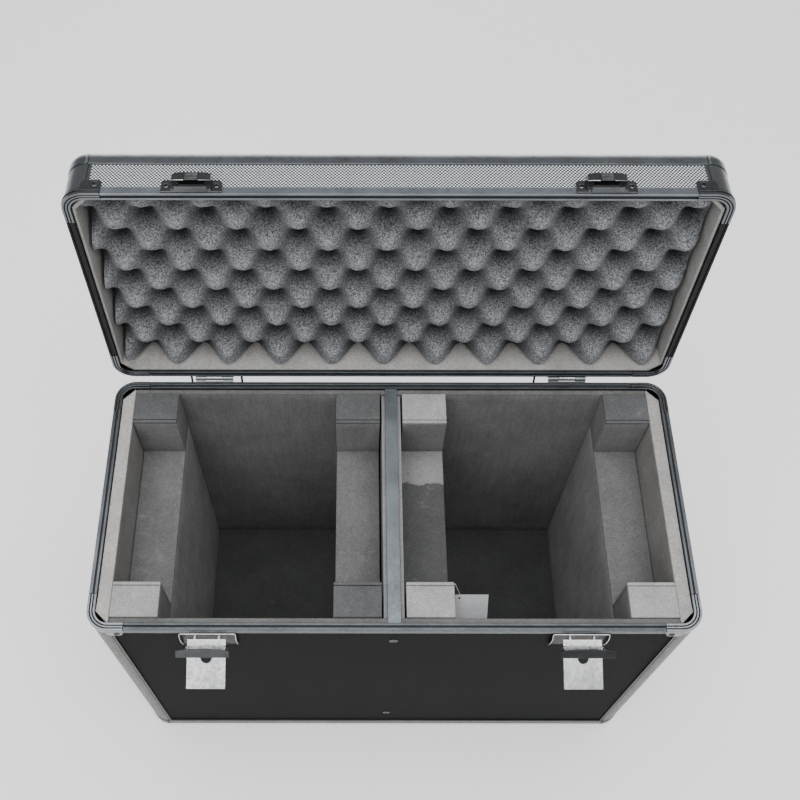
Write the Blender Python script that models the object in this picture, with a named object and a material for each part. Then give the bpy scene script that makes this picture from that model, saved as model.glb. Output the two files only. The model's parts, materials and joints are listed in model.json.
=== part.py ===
"""Telescope carry case: a tall two-compartment box in framed panels, with its hinged lid standing open.

Every shape is written about the middle of the rim plane, where the lid meets the body: +X is the case's
right, -Y its front and +Z up. One empty lifts that point to its height above the floor, and each moving
piece hangs from an empty on its own axis. Lengths are in metres.
"""

import math

import bmesh
import bpy
from mathutils import Matrix, Vector

# The case's outside.
CASE_WIDTH = 0.615
CASE_DEPTH = 0.285
BODY_HEIGHT = 0.4142
LID_HEIGHT = 0.058
OPEN_ANGLE = math.radians(94.46)
CORNER_RADIUS = 0.022
BOX_CENTRE_Y = -0.0158  # moves the body back so that the open case's outer box is centred

# Boards and the extrusions around them. A groove is (start inset, end inset, depth).
GAP = 0.0003
PANEL_INSET = 0.0019
BOARD = 0.0061
RIM_WIDTH = 0.008
RIM_FLANGE = 0.009
RIM_WEB = 0.004
EXTRUSION_WALL = 0.0016
BODY_GROOVE = (0.0036, 0.0054, 0.0018)
LID_GROOVE = (0.0024, 0.006, 0.002)
LID_RIM_GAP = 0.0004
LID_BOARD_TOP = 0.048
ROOF_EDGE_RADIUS = 0.010
ROOF_FLANGE_LOW = 0.0393
ROOF_LEDGE = 0.018
ROOF_BOARD = 0.0044
BASE_FLANGE = 0.018
BASE_LEDGE = 0.017
BASE_BEVEL = (0.0012, 0.004)
BOARD_PAST = 0.0012  # how far a board runs on past the start of the corner's curve
POST_RECESS = 0.0004
POST_OVERLAP = 0.004

# Linings and foam.
SIDE_LINING = 0.0137
END_LINING = 0.0057
FLOOR_LINING = 0.006
FLOOR_DEPTH = 0.400
LINING_TOP = -0.003
LINING_CHAMFER = 0.0122
LID_LINING = 0.003
LID_TRAY_ROOF = 0.0025
PAD_TOP = -0.001
PAD_SHELF = -0.072
PAD_BLOCK = 0.037
DIVIDER_PAD = (0.0122, 0.0614)
WALL_PAD = (0.2365, 0.2852)
FOAM_HALF = (0.2905, 0.1305)
FOAM_HEIGHT = 0.0415

# Divider.
DIVIDER_HALF = 0.01075
DIVIDER_CORE_HALF = 0.0058
CAP_HALF = 0.00675
CAP_TOP = -0.001
CAP_LEG = 0.005
CAP_WALL = 0.0015

# Hinges and stays. The keeper is the box behind the body leaf in which the stay's cross bar slides.
HINGE_X = 0.198
HINGE_BEHIND = 0.00435
HINGE_ABOVE = 0.00195
KNUCKLE_RADIUS = 0.0032
PIN_RADIUS = 0.0015
PIN_HOLE = 0.00162
LEAF_HALF = 0.021
LEAF_FOOT = -0.058
MIDDLE_KNUCKLE_HALF = 0.009
LEAF_WALL = 0.0016
STAY_WIRE = 0.0013
STAY_HALF = 0.0285
STAY_STUB = 0.0085
STAY_LENGTH = 0.048
STAY_PIVOT = (0.1482, 0.014)
STAY_SLIP = {"left": 0.0, "right": -0.005}
EYE_SPAN = (0.012, 0.017)
EYE_HALF = 0.0028
KEEPER_HALF = 0.006
KEEPER_BACK = 0.1548
KEEPER_Z = (-0.0505, -0.0305)
KEEPER_WALL = 0.0012
WIRE_PLAY = 0.0002

# Catches on the lid, each part as (half width, front face, underside, top).
CATCH_PLATE = (0.0275, -0.1443, 0.0015, 0.016)
CATCH_HOUSING = (0.018, -0.1505, 0.0095, 0.020)
CATCH_TONGUE = (0.005, -0.152, 0.012, 0.017)
CATCH_BAR = (0.015, -0.150, 0.0012, 0.0044)

# Latches. A span is the distance from the latch's middle to a piece's near and far sides.
LATCH_X = 0.187
LATCH_BASE_HALF = 0.0285
LATCH_BASE_LOW = -0.046
LATCH_BASE_WALL = 0.0012
LATCH_CUP_FRONT = -0.1465
LATCH_EAR_SPAN = (0.0112, 0.0128)
LATCH_EAR_LOW = -0.0165
LATCH_PIN_HALF = 0.0186
LEVER_OPEN = math.radians(68)
LEVER_AXIS = (-0.149, -0.0135)
LEVER_HALF = 0.0193
LEVER_LENGTH = 0.046
LEVER_TOP = 0.002
LEVER_WALL = 0.001
LEVER_KNUCKLE = 0.0028
LEVER_KNUCKLE_SPAN = (0.0134, 0.0186)
LEVER_NOTCH_SPAN = (0.0109, 0.0131)
LEVER_NOTCH_Z = (-0.0045, 0.003)
LEVER_LUG_SPAN = (0.0104, 0.0128)
LEVER_LUG_HALF = (0.0022, 0.0024)
LEVER_HOLE = 0.0055
LEVER_HOLE_Z = -0.016
CLAW_OPEN = math.radians(104)
CLAW_AXIS = (-0.0052, -0.006)
CLAW_PIN = 0.001
CLAW_BORE = 0.00112
CLAW_BARREL = 0.0021
CLAW_FOOT = 0.0098
CLAW_NECK = (0.0008, 0.007, 0.013)  # heights of the foot, the neck's end and the shoulders
CLAW_HEIGHT = 0.0262
CLAW_HALF = 0.026
CLAW_LIP = 0.0084
CLAW_LIP_WALL = 0.0018
CLAW_WALL = 0.0016

# Side handles and feet.
HANDLE_PLATE_HALF = 0.052
HANDLE_PLATE_Z = (-0.178, -0.116)
HANDLE_PLATE_WALL = 0.002
HANDLE_EYE_SPAN = (0.0385, 0.0445)
HANDLE_EYE_HALF = 0.0048
HANDLE_AXIS_OUT = 0.007
HANDLE_AXIS_Z = -0.125
HANDLE_DROP = 0.036
HANDLE_HALF = 0.034
HANDLE_ROD = 0.0022
HANDLE_ROD_END = 0.044
HANDLE_GRIP = 0.0062
HANDLE_GRIP_HALF = 0.028
FOOT_RADIUS = 0.016
FOOT_TAPER = 0.85
FOOT_HEIGHT = 0.0119
FOOT_AT = (0.270, 0.105)

# Hang tag.
TAG_SIZE = (0.034, 0.0006, 0.045)
TAG_TOP = (0.0798, -0.1005, -0.014)
TAG_LEAN = math.radians(37)

HALF_X = CASE_WIDTH / 2
HALF_Y = CASE_DEPTH / 2
BOARD_INSET = PANEL_INSET + BOARD
INNER_X = HALF_X - BOARD_INSET
INNER_Y = HALF_Y - BOARD_INSET
BASE_Z = -BODY_HEIGHT
BOARD_LOW = BASE_Z + EXTRUSION_WALL + GAP
FOOT_TOP = BOARD_LOW - GAP
RIM_Z = FOOT_HEIGHT - FOOT_TOP
LINING_END_Y = INNER_Y - GAP
CLEAR_Y = LINING_END_Y - END_LINING
HINGE_Y = HALF_Y + HINGE_BEHIND
KNUCKLE_ROOM = KNUCKLE_RADIUS + 2 * GAP
LEAF_FACE = HALF_Y + GAP
LEAF_OUTER = LEAF_FACE + LEAF_WALL
LEAF_STEP = HALF_Y - PANEL_INSET + GAP
ROOF_PANEL_TOP = LID_HEIGHT - EXTRUSION_WALL - GAP
ROOF_PANEL_LOW = ROOF_PANEL_TOP - ROOF_BOARD
ARC_STEPS = 6
ROUND_STEPS = 16
FILLET = 0.004
OVERLAP = 0.0005  # how far a joined piece sinks into the one it stands on
THROUGH = 0.03  # half the length of a cutter that goes right through


def clear_scene():
    for old in list(bpy.data.objects):
        bpy.data.objects.remove(old, do_unlink=True)


def material(name, colour, roughness, metallic=0.0):
    made = bpy.data.materials.new(name)
    made.use_nodes = True
    shader = made.node_tree.nodes["Principled BSDF"]
    shader.inputs["Base Color"].default_value = (*colour, 1.0)
    shader.inputs["Roughness"].default_value = roughness
    shader.inputs["Metallic"].default_value = metallic
    made.diffuse_color = (*colour, 1.0)
    return made


def add_empty(name, parent=None, location=(0, 0, 0), turn_x=0.0):
    empty = bpy.data.objects.new(name, None)
    empty.parent = parent
    empty.location = location
    empty.rotation_euler = (turn_x, 0, 0)
    bpy.context.collection.objects.link(empty)
    return empty


def add_object(name, bm, parent, finish, location=(0, 0, 0)):
    """Turns a bmesh into a named object with outward faces and smooth round sides."""
    bmesh.ops.recalc_face_normals(bm, faces=bm.faces)
    mesh = bpy.data.meshes.new(name)
    bm.to_mesh(mesh)
    bm.free()
    mesh.shade_smooth()
    mesh.set_sharp_from_angle(angle=math.radians(35))
    obj = bpy.data.objects.new(name, mesh)
    obj.parent = parent
    obj.location = location
    if finish:
        mesh.materials.append(finish)
    bpy.context.collection.objects.link(obj)
    return obj


def boolean(obj, operation, bm):
    """Adds or cuts a shape written in the object's own frame, with a hidden helper."""
    name = f"{obj.name}_helper_{len(obj.modifiers)}"
    helper = add_object(name, bm, obj.parent, None, obj.location)
    helper.hide_render = True
    helper.display_type = "WIRE"
    modifier = obj.modifiers.new(operation.title(), "BOOLEAN")
    modifier.operation = operation
    modifier.object = helper


def both_sides(low, high):
    """The span from low to high, and its mirror image."""
    return ((-high, -low), (low, high))


def box(low, high):
    bm = bmesh.new()
    low, high = Vector(low), Vector(high)
    size = Matrix.Diagonal((*(high - low), 1))
    bmesh.ops.create_cube(bm, size=1, matrix=Matrix.Translation((low + high) / 2) @ size)
    return bm


def prism(outline, low, high, place):
    """A closed outline pushed from low to high; place turns (u, v, depth) into x, y and z."""
    bm = bmesh.new()
    face = bm.faces.new([bm.verts.new(place(u, v, low)) for u, v in outline])
    grown = bmesh.ops.extrude_face_region(bm, geom=[face])
    moved = [item for item in grown["geom"] if isinstance(item, bmesh.types.BMVert)]
    shift = Vector(place(0, 0, high)) - Vector(place(0, 0, low))
    bmesh.ops.translate(bm, verts=moved, vec=shift)
    return bm


def along_x(u, v, depth):
    return (depth, u, v)


def along_z(u, v, depth):
    return (u, v, depth)


def rod_x(low, high, radius, y=0.0, z=0.0, sides=ROUND_STEPS):
    bm = bmesh.new()
    place = Matrix.Translation(((low + high) / 2, y, z)) @ Matrix.Rotation(math.pi / 2, 4, "Y")
    bmesh.ops.create_cone(
        bm,
        cap_ends=True,
        segments=sides,
        radius1=radius,
        radius2=radius,
        depth=high - low,
        matrix=place,
    )
    return bm


def rod_y(low, high, radius, x=0.0, z=0.0, sides=ROUND_STEPS):
    bm = rod_x(low, high, radius, sides=sides)
    bmesh.ops.rotate(bm, verts=bm.verts, matrix=Matrix.Rotation(math.pi / 2, 3, "Z"))
    bmesh.ops.translate(bm, verts=bm.verts, vec=(x, 0, z))
    return bm


def arc(centre, radius, start, end, steps):
    """Points on an arc from one angle to another, in degrees."""
    angles = [math.radians(start + (end - start) * step / steps) for step in range(steps + 1)]
    return [(centre[0] + radius * math.cos(a), centre[1] + radius * math.sin(a)) for a in angles]


def ring(section):
    """Carries a section of (inset, height) points round the case's rounded rectangle."""
    centre_x, centre_y = HALF_X - CORNER_RADIUS, HALF_Y - CORNER_RADIUS
    bm = bmesh.new()
    loops = []
    for quarter, (sign_x, sign_y) in enumerate(((1, 1), (-1, 1), (-1, -1), (1, -1))):
        x, y = sign_x * centre_x, sign_y * centre_y
        for unit_x, unit_y in arc((0, 0), 1, quarter * 90, quarter * 90 + 90, ARC_STEPS):
            reach = [(CORNER_RADIUS - inset, height) for inset, height in section]
            loops.append([bm.verts.new((x + unit_x * r, y + unit_y * r, z)) for r, z in reach])
    count = len(section)
    for here, after in zip(loops, loops[1:] + loops[:1]):
        for k in range(count):
            bm.faces.new((here[k], after[k], after[(k + 1) % count], here[(k + 1) % count]))
    return bm


def groove_section(groove, face, into):
    """The points of a rim's mating face with a groove in it; into is +1 or -1 along Z."""
    start, end, depth = groove
    floor = face + into * depth
    return [(0, face), (start, face), (start, floor), (end, floor), (end, face), (RIM_WIDTH, face)]


def filleted(points, radius=FILLET, steps=4):
    """The path through the points with each inner bend rounded."""
    path = [Vector(points[0])]
    for before, bend, after in zip(points, points[1:], points[2:]):
        bend = Vector(bend)
        start = bend + (Vector(before) - bend).normalized() * radius
        end = bend + (Vector(after) - bend).normalized() * radius
        for step in range(steps + 1):
            t = step / steps
            path.append(start * (1 - t) ** 2 + bend * 2 * t * (1 - t) + end * t**2)
    return path + [Vector(points[-1])]


def tube(path, radius, normal, sides=10):
    """A round wire along a path that lies in the plane square to normal."""
    bm = bmesh.new()
    normal = Vector(normal)
    loops = []
    for index, point in enumerate(path):
        forward = (path[min(index + 1, len(path) - 1)] - path[max(index - 1, 0)]).normalized()
        across = normal.cross(forward)
        angles = [2 * math.pi * side / sides for side in range(sides)]
        turned = [across * math.cos(angle) + normal * math.sin(angle) for angle in angles]
        loops.append([bm.verts.new(point + direction * radius) for direction in turned])
    for here, after in zip(loops, loops[1:]):
        for k in range(sides):
            bm.faces.new((here[k], after[k], after[(k + 1) % sides], here[(k + 1) % sides]))
    bm.faces.new(loops[0])
    bm.faces.new(loops[-1])
    return bm


def chamfered(half_x, half_y, chamfer):
    """A rectangle's outline with its four corners cut off."""
    outline = []
    for sign_x, sign_y in ((1, 1), (-1, 1), (-1, -1), (1, -1)):
        cut = [(half_x - chamfer, half_y), (half_x, half_y - chamfer)]
        if sign_x * sign_y > 0:
            cut.reverse()
        outline += [(sign_x * x, sign_y * y) for x, y in cut]
    return outline


def make_walls(prefix, parent, finish, low, high):
    """Front, back, left and right boards, stopped short of the rounded corners."""
    reach = CORNER_RADIUS - BOARD_PAST
    for side, sign in (("front", -1), ("back", 1)):
        faces = sorted((sign * INNER_Y, sign * (INNER_Y + BOARD)))
        bm = box((reach - HALF_X, faces[0], low), (HALF_X - reach, faces[1], high))
        add_object(f"{prefix}_{side}_panel", bm, parent, finish)
    for side, sign in (("left", -1), ("right", 1)):
        faces = sorted((sign * INNER_X, sign * (INNER_X + BOARD)))
        bm = box((faces[0], reach - HALF_Y, low), (faces[1], HALF_Y - reach, high))
        add_object(f"{prefix}_{side}_panel", bm, parent, finish)


def make_corners(prefix, parent, finish, low, high):
    """Upright corner extrusions: a round outside, a square inside and a lip over each board's end."""
    centre = Vector((HALF_X - CORNER_RADIUS, HALF_Y - CORNER_RADIUS))
    outer = CORNER_RADIUS - POST_RECESS
    lip = CORNER_RADIUS - PANEL_INSET + GAP
    inner = CORNER_RADIUS - BOARD_INSET
    board_end = BOARD_PAST + GAP
    outline = [(outer, -POST_OVERLAP)] + arc((0, 0), outer, 0, 90, ARC_STEPS)
    outline += [(-POST_OVERLAP, outer), (-POST_OVERLAP, lip), (board_end, lip), (board_end, inner)]
    outline += [(inner, inner), (inner, board_end), (lip, board_end), (lip, -POST_OVERLAP)]
    for end, sign_y in (("front", -1), ("back", 1)):
        for side, sign_x in (("left", -1), ("right", 1)):
            placed = [(sign_x * (centre.x + u), sign_y * (centre.y + v)) for u, v in outline]
            bm = prism(placed, low, high, along_z)
            add_object(f"{prefix}_{end}_{side}_corner", bm, parent, finish)


def make_body_shell(parent, finishes):
    rim = groove_section(BODY_GROOVE, 0, -1)
    rim += [(RIM_WIDTH, -RIM_WEB), (EXTRUSION_WALL, -RIM_WEB)]
    rim += [(EXTRUSION_WALL, -RIM_FLANGE), (0, -RIM_FLANGE)]
    add_object("body_rim_frame", ring(rim), parent, finishes["trim"])
    flange_top = BASE_Z + BASE_FLANGE
    ledge_top = BASE_Z + EXTRUSION_WALL
    short, long = BASE_BEVEL
    base = [(0, flange_top), (0, BASE_Z + long), (short, BASE_Z + short), (long, BASE_Z)]
    base += [(BASE_LEDGE, BASE_Z), (BASE_LEDGE, ledge_top)]
    base += [(EXTRUSION_WALL, ledge_top), (EXTRUSION_WALL, flange_top)]
    add_object("body_base_frame", ring(base), parent, finishes["trim"])
    make_walls("body", parent, finishes["panel"], BOARD_LOW, -RIM_WEB - GAP)
    make_corners("body", parent, finishes["post"], flange_top + GAP, -RIM_FLANGE - GAP)
    inner_x, inner_y = INNER_X - GAP, INNER_Y - GAP
    floor_board = box((-inner_x, -inner_y, BOARD_LOW), (inner_x, inner_y, BOARD_LOW + BOARD))
    add_object("body_bottom_panel", floor_board, parent, finishes["panel"])


def make_feet(parent, finish):
    foot_x, foot_y = FOOT_AT
    middle_z = FOOT_TOP - FOOT_HEIGHT / 2
    for end, y in (("front", -foot_y), ("back", foot_y)):
        for side, x in (("left", -foot_x), ("right", foot_x)):
            bm = bmesh.new()
            bmesh.ops.create_cone(
                bm,
                cap_ends=True,
                segments=20,
                radius1=FOOT_RADIUS * FOOT_TAPER,
                radius2=FOOT_RADIUS,
                depth=FOOT_HEIGHT,
            )
            add_object(f"rubber_foot_{end}_{side}", bm, parent, finish, (x, y, middle_z))


def make_linings(parent, finishes):
    """The stiff foam sheets inside the body; the thick side sheets have their outer corners cut off."""
    floor_top = -FLOOR_DEPTH
    reach = INNER_X - GAP
    for side, sign in (("left", -1), ("right", 1)):
        inside = reach - SIDE_LINING
        outline = [(inside, -LINING_END_Y), (reach - LINING_CHAMFER, -LINING_END_Y)]
        outline += [(reach, LINING_CHAMFER - LINING_END_Y), (reach, LINING_END_Y - LINING_CHAMFER)]
        outline += [(reach - LINING_CHAMFER, LINING_END_Y), (inside, LINING_END_Y)]
        placed = [(sign * x, y) for x, y in outline]
        bm = prism(placed, floor_top + GAP, LINING_TOP, along_z)
        add_object(f"{side}_side_lining", bm, parent, finishes["lining"])
    half = reach - SIDE_LINING - GAP
    for side, sign in (("front", -1), ("back", 1)):
        faces = sorted((sign * CLEAR_Y, sign * LINING_END_Y))
        bm = box((-half, faces[0], floor_top + GAP), (half, faces[1], LINING_TOP))
        add_object(f"{side}_lining", bm, parent, finishes["lining"])
    bm = box((-reach, -LINING_END_Y, floor_top - FLOOR_LINING), (reach, LINING_END_Y, floor_top))
    add_object("floor_lining", bm, parent, finishes["floor"])


def make_divider(parent, finishes):
    """A board faced with foam on both sides, and the metal channel over its top edge."""
    half_y = CLEAR_Y - GAP
    floor = -FLOOR_DEPTH + GAP
    core_top = CAP_TOP - CAP_WALL - GAP
    facing_top = CAP_TOP - CAP_LEG - GAP
    outline = [(-DIVIDER_HALF, floor), (DIVIDER_HALF, floor), (DIVIDER_HALF, facing_top)]
    outline += [(DIVIDER_CORE_HALF, facing_top), (DIVIDER_CORE_HALF, core_top)]
    outline += [(-DIVIDER_CORE_HALF, core_top), (-DIVIDER_CORE_HALF, facing_top)]
    outline += [(-DIVIDER_HALF, facing_top)]
    board = prism(outline, -half_y, half_y, lambda u, v, depth: (u, depth, v))
    add_object("divider_board", board, parent, finishes["pad"])
    cap = box((-CAP_HALF, -LINING_END_Y, CAP_TOP - CAP_WALL), (CAP_HALF, LINING_END_Y, CAP_TOP))
    cap = add_object("divider_cap", cap, parent, finishes["cap"])
    slot = DIVIDER_CORE_HALF + GAP
    under = CAP_TOP - CAP_WALL
    legs = box((-CAP_HALF, -half_y, CAP_TOP - CAP_LEG), (CAP_HALF, half_y, under + OVERLAP))
    boolean(cap, "UNION", legs)
    boolean(cap, "DIFFERENCE", box((-slot, -HALF_Y, under - 2 * CAP_LEG), (slot, HALF_Y, under)))


def make_pads(parent, finish):
    """Four supports: each is as deep as the compartment, with a block left standing at either end."""
    half_y = CLEAR_Y - GAP
    floor = -FLOOR_DEPTH + GAP
    shelf_half = half_y - PAD_BLOCK
    outline = [(-half_y, floor), (half_y, floor), (half_y, PAD_TOP), (shelf_half, PAD_TOP)]
    outline += [(shelf_half, PAD_SHELF), (-shelf_half, PAD_SHELF)]
    outline += [(-shelf_half, PAD_TOP), (-half_y, PAD_TOP)]
    for side, sign in (("left", -1), ("right", 1)):
        for place, span in (("divider", DIVIDER_PAD), ("wall", WALL_PAD)):
            low, high = sorted(sign * x for x in span)
            add_object(f"{side}_{place}_pad", prism(outline, low, high, along_x), parent, finish)


def make_lid_shell(parent, finishes):
    """The lid's extrusions, boards and roof board, written as it lies closed."""
    rim = groove_section(LID_GROOVE, LID_RIM_GAP, 1)
    web = LID_RIM_GAP + RIM_WEB
    rim += [(RIM_WIDTH, web), (EXTRUSION_WALL, web), (EXTRUSION_WALL, RIM_FLANGE), (0, RIM_FLANGE)]
    add_object("lid_rim_frame", ring(rim), parent, finishes["trim"])
    under_ledge = ROOF_PANEL_TOP + GAP
    web = LID_BOARD_TOP + GAP
    edge_centre = (ROOF_EDGE_RADIUS, LID_HEIGHT - ROOF_EDGE_RADIUS)
    roof = [(EXTRUSION_WALL, ROOF_FLANGE_LOW), (0, ROOF_FLANGE_LOW)]
    roof += arc(edge_centre, ROOF_EDGE_RADIUS, 180, 90, ARC_STEPS)
    roof += [(ROOF_LEDGE, LID_HEIGHT), (ROOF_LEDGE, under_ledge), (RIM_WIDTH, under_ledge)]
    roof += [(RIM_WIDTH, web), (EXTRUSION_WALL, web)]
    add_object("lid_roof_frame", ring(roof), parent, finishes["trim"])
    make_walls("lid", parent, finishes["panel"], LID_RIM_GAP + RIM_WEB + GAP, LID_BOARD_TOP)
    make_corners("lid", parent, finishes["trim"], RIM_FLANGE + GAP, ROOF_FLANGE_LOW - GAP)
    outline = chamfered(HALF_X - RIM_WIDTH - GAP, HALF_Y - RIM_WIDTH - GAP, LINING_CHAMFER)
    panel = prism(outline, ROOF_PANEL_LOW, ROOF_PANEL_TOP, along_z)
    add_object("lid_roof_panel", panel, parent, finishes["panel"])


def make_lid_lining(parent, finishes):
    """A shallow foam tray in the lid, and the egg-crate sheet glued in it."""
    half_x, half_y = INNER_X - GAP, INNER_Y - GAP
    top = ROOF_PANEL_LOW - GAP
    inside = top - LID_TRAY_ROOF
    rim = -LINING_TOP
    tray = prism(chamfered(half_x, half_y, LINING_CHAMFER), rim, top, along_z)
    lining = add_object("lid_lining", tray, parent, finishes["lining"])
    hollow = chamfered(half_x - LID_LINING, half_y - LID_LINING, LINING_CHAMFER)
    boolean(lining, "DIFFERENCE", prism(hollow, rim - THROUGH, inside, along_z))
    foam_top = inside - GAP
    outline = chamfered(*FOAM_HALF, LINING_CHAMFER)
    foam = prism(outline, foam_top - FOAM_HEIGHT, foam_top, along_z)
    add_object("egg_crate_foam", foam, parent, finishes["foam"])


def make_body_leaf(side, x, body, finish):
    """The lower hinge leaf: two outer knuckles, and the keeper box for the stay's cross bar."""
    leaf = [(LEAF_STEP, LEAF_FOOT), (LEAF_OUTER, LEAF_FOOT), (LEAF_OUTER, HINGE_ABOVE - OVERLAP)]
    leaf += [(LEAF_FACE, HINGE_ABOVE - LEAF_WALL - OVERLAP)]
    leaf += [(LEAF_FACE, -RIM_FLANGE - GAP), (LEAF_STEP, -RIM_FLANGE - GAP)]
    plate = prism(leaf, -LEAF_HALF, LEAF_HALF, along_x)
    leaf = add_object(f"hinge_body_leaf_{side}", plate, body, finish, (x, 0, 0))
    edge = MIDDLE_KNUCKLE_HALF + GAP
    boolean(leaf, "DIFFERENCE", rod_x(-edge, edge, KNUCKLE_ROOM, HINGE_Y, HINGE_ABOVE))
    for low, high in both_sides(edge, LEAF_HALF):
        boolean(leaf, "UNION", rod_x(low, high, KNUCKLE_RADIUS, HINGE_Y, HINGE_ABOVE))
    boolean(leaf, "DIFFERENCE", rod_x(-THROUGH, THROUGH, PIN_HOLE, HINGE_Y, HINGE_ABOVE))
    low, high = KEEPER_Z
    block = box((-KEEPER_HALF, LEAF_OUTER - OVERLAP, low), (KEEPER_HALF, KEEPER_BACK, high))
    boolean(leaf, "UNION", block)
    slot_low, slot_high = low + KEEPER_WALL, high - KEEPER_WALL
    slot_back = KEEPER_BACK - KEEPER_WALL
    slot = box((-THROUGH, LEAF_OUTER, slot_low), (THROUGH, slot_back, slot_high))
    boolean(leaf, "DIFFERENCE", slot)


def make_lid_leaf(side, x, lid, finish):
    """The upper hinge leaf: the middle knuckle, and two eyes for the stay."""
    low_z = 2 * HINGE_ABOVE
    top_z = ROOF_FLANGE_LOW - 2 * GAP
    leaf = [(LEAF_FACE, low_z), (LEAF_OUTER, low_z - LEAF_WALL + OVERLAP), (LEAF_OUTER, top_z)]
    leaf += [(LEAF_STEP, top_z), (LEAF_STEP, RIM_FLANGE + GAP), (LEAF_FACE, RIM_FLANGE + GAP)]
    plate = prism(leaf, -LEAF_HALF, LEAF_HALF, along_x)
    leaf = add_object(f"hinge_lid_leaf_{side}", plate, lid, finish, (x, 0, 0))
    for low, high in both_sides(MIDDLE_KNUCKLE_HALF, THROUGH):
        boolean(leaf, "DIFFERENCE", rod_x(low, high, KNUCKLE_ROOM, HINGE_Y, HINGE_ABOVE))
    half = MIDDLE_KNUCKLE_HALF
    boolean(leaf, "UNION", rod_x(-half, half, KNUCKLE_RADIUS, HINGE_Y, HINGE_ABOVE))
    boolean(leaf, "DIFFERENCE", rod_x(-THROUGH, THROUGH, PIN_HOLE, HINGE_Y, HINGE_ABOVE))
    pivot_y, pivot_z = STAY_PIVOT
    for low, high in both_sides(*EYE_SPAN):
        base = (low, LEAF_OUTER - OVERLAP, pivot_z - EYE_HALF)
        boolean(leaf, "UNION", box(base, (high, pivot_y + EYE_HALF, pivot_z + EYE_HALF)))
    bore = rod_x(-THROUGH, THROUGH, STAY_WIRE + WIRE_PLAY, pivot_y, pivot_z, sides=12)
    boolean(leaf, "DIFFERENCE", bore)


def make_hinge(side, x, body, lid, finishes):
    """A butt hinge with three knuckles on one pin."""
    make_body_leaf(side, x, body, finishes["hinge"])
    make_lid_leaf(side, x, lid, finishes["hinge"])
    pin_half = LEAF_HALF + GAP
    pin = rod_x(-pin_half, pin_half, PIN_RADIUS, HINGE_Y, HINGE_ABOVE)
    add_object(f"hinge_pin_{side}", pin, body, finishes["steel"], (x, 0, 0))


def stay_reach():
    """How far the stay's pivot stands behind the keeper's line while the lid is open."""
    out, up = STAY_PIVOT[0] - HINGE_Y, STAY_PIVOT[1] - HINGE_ABOVE
    return HINGE_Y + out * math.cos(OPEN_ANGLE) + up * math.sin(OPEN_ANGLE) - STAY_PIVOT[0]


def make_stay(side, x, lid, finish):
    """The wire stay: a U that turns in the lid leaf's eyes, its cross bar in the body leaf's keeper."""
    lean = math.asin(stay_reach() / STAY_LENGTH)
    pivot = add_empty(f"stay_axis_{side}", lid, (x, *STAY_PIVOT), OPEN_ANGLE - lean)
    points = [(-STAY_STUB, 0, 0), (-STAY_HALF, 0, 0), (-STAY_HALF, 0, -STAY_LENGTH)]
    points += [(STAY_HALF, 0, -STAY_LENGTH), (STAY_HALF, 0, 0), (STAY_STUB, 0, 0)]
    path = filleted([(px + STAY_SLIP[side], py, pz) for px, py, pz in points])
    add_object(f"lid_stay_{side}", tube(path, STAY_WIRE, (0, 1, 0)), pivot, finish)


def make_catch(side, x, lid, finish):
    """The latch's keeper on the lid: a flat plate, a raised housing and a hooked bar below it."""
    half, plate, low, high = CATCH_PLATE
    catch = box((-half, plate, low), (half, -HALF_Y - GAP, high))
    catch = add_object(f"lid_catch_{side}", catch, lid, finish, (x, 0, 0))
    housing_front = CATCH_HOUSING[1]
    for part, behind in ((CATCH_HOUSING, plate), (CATCH_TONGUE, housing_front), (CATCH_BAR, plate)):
        half, front, low, high = part
        boolean(catch, "UNION", box((-half, front, low), (half, behind + OVERLAP, high)))


def make_latch_base(side, x, body, finish):
    """The pressed base: a back plate with side walls and a top flange, and two ears that hold a pin."""
    axis_y, axis_z = LEVER_AXIS
    back = PANEL_INSET - HALF_Y - GAP
    inside = back - LATCH_BASE_WALL
    top = -RIM_FLANGE - 2 * GAP
    half = LATCH_BASE_HALF
    base = box((-half, inside, LATCH_BASE_LOW), (half, back, top))
    base = add_object(f"latch_base_{side}", base, body, finish, (x, 0, 0))
    for low, high in both_sides(half - LATCH_BASE_WALL, half):
        wall = box((low, LATCH_CUP_FRONT, LATCH_BASE_LOW), (high, inside + OVERLAP, top))
        boolean(base, "UNION", wall)
    flange_half = half - LATCH_BASE_WALL / 2
    flange = box(
        (-flange_half, LATCH_CUP_FRONT, top - LATCH_BASE_WALL), (flange_half, inside + OVERLAP, top)
    )
    boolean(base, "UNION", flange)
    for low, high in both_sides(*LATCH_EAR_SPAN):
        front = axis_y - LEVER_KNUCKLE + GAP
        ear = box((low, front, LATCH_EAR_LOW), (high, inside + OVERLAP, top - GAP))
        boolean(base, "UNION", ear)
    boolean(base, "UNION", rod_x(-LATCH_PIN_HALF, LATCH_PIN_HALF, PIN_RADIUS, axis_y, axis_z))


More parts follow.
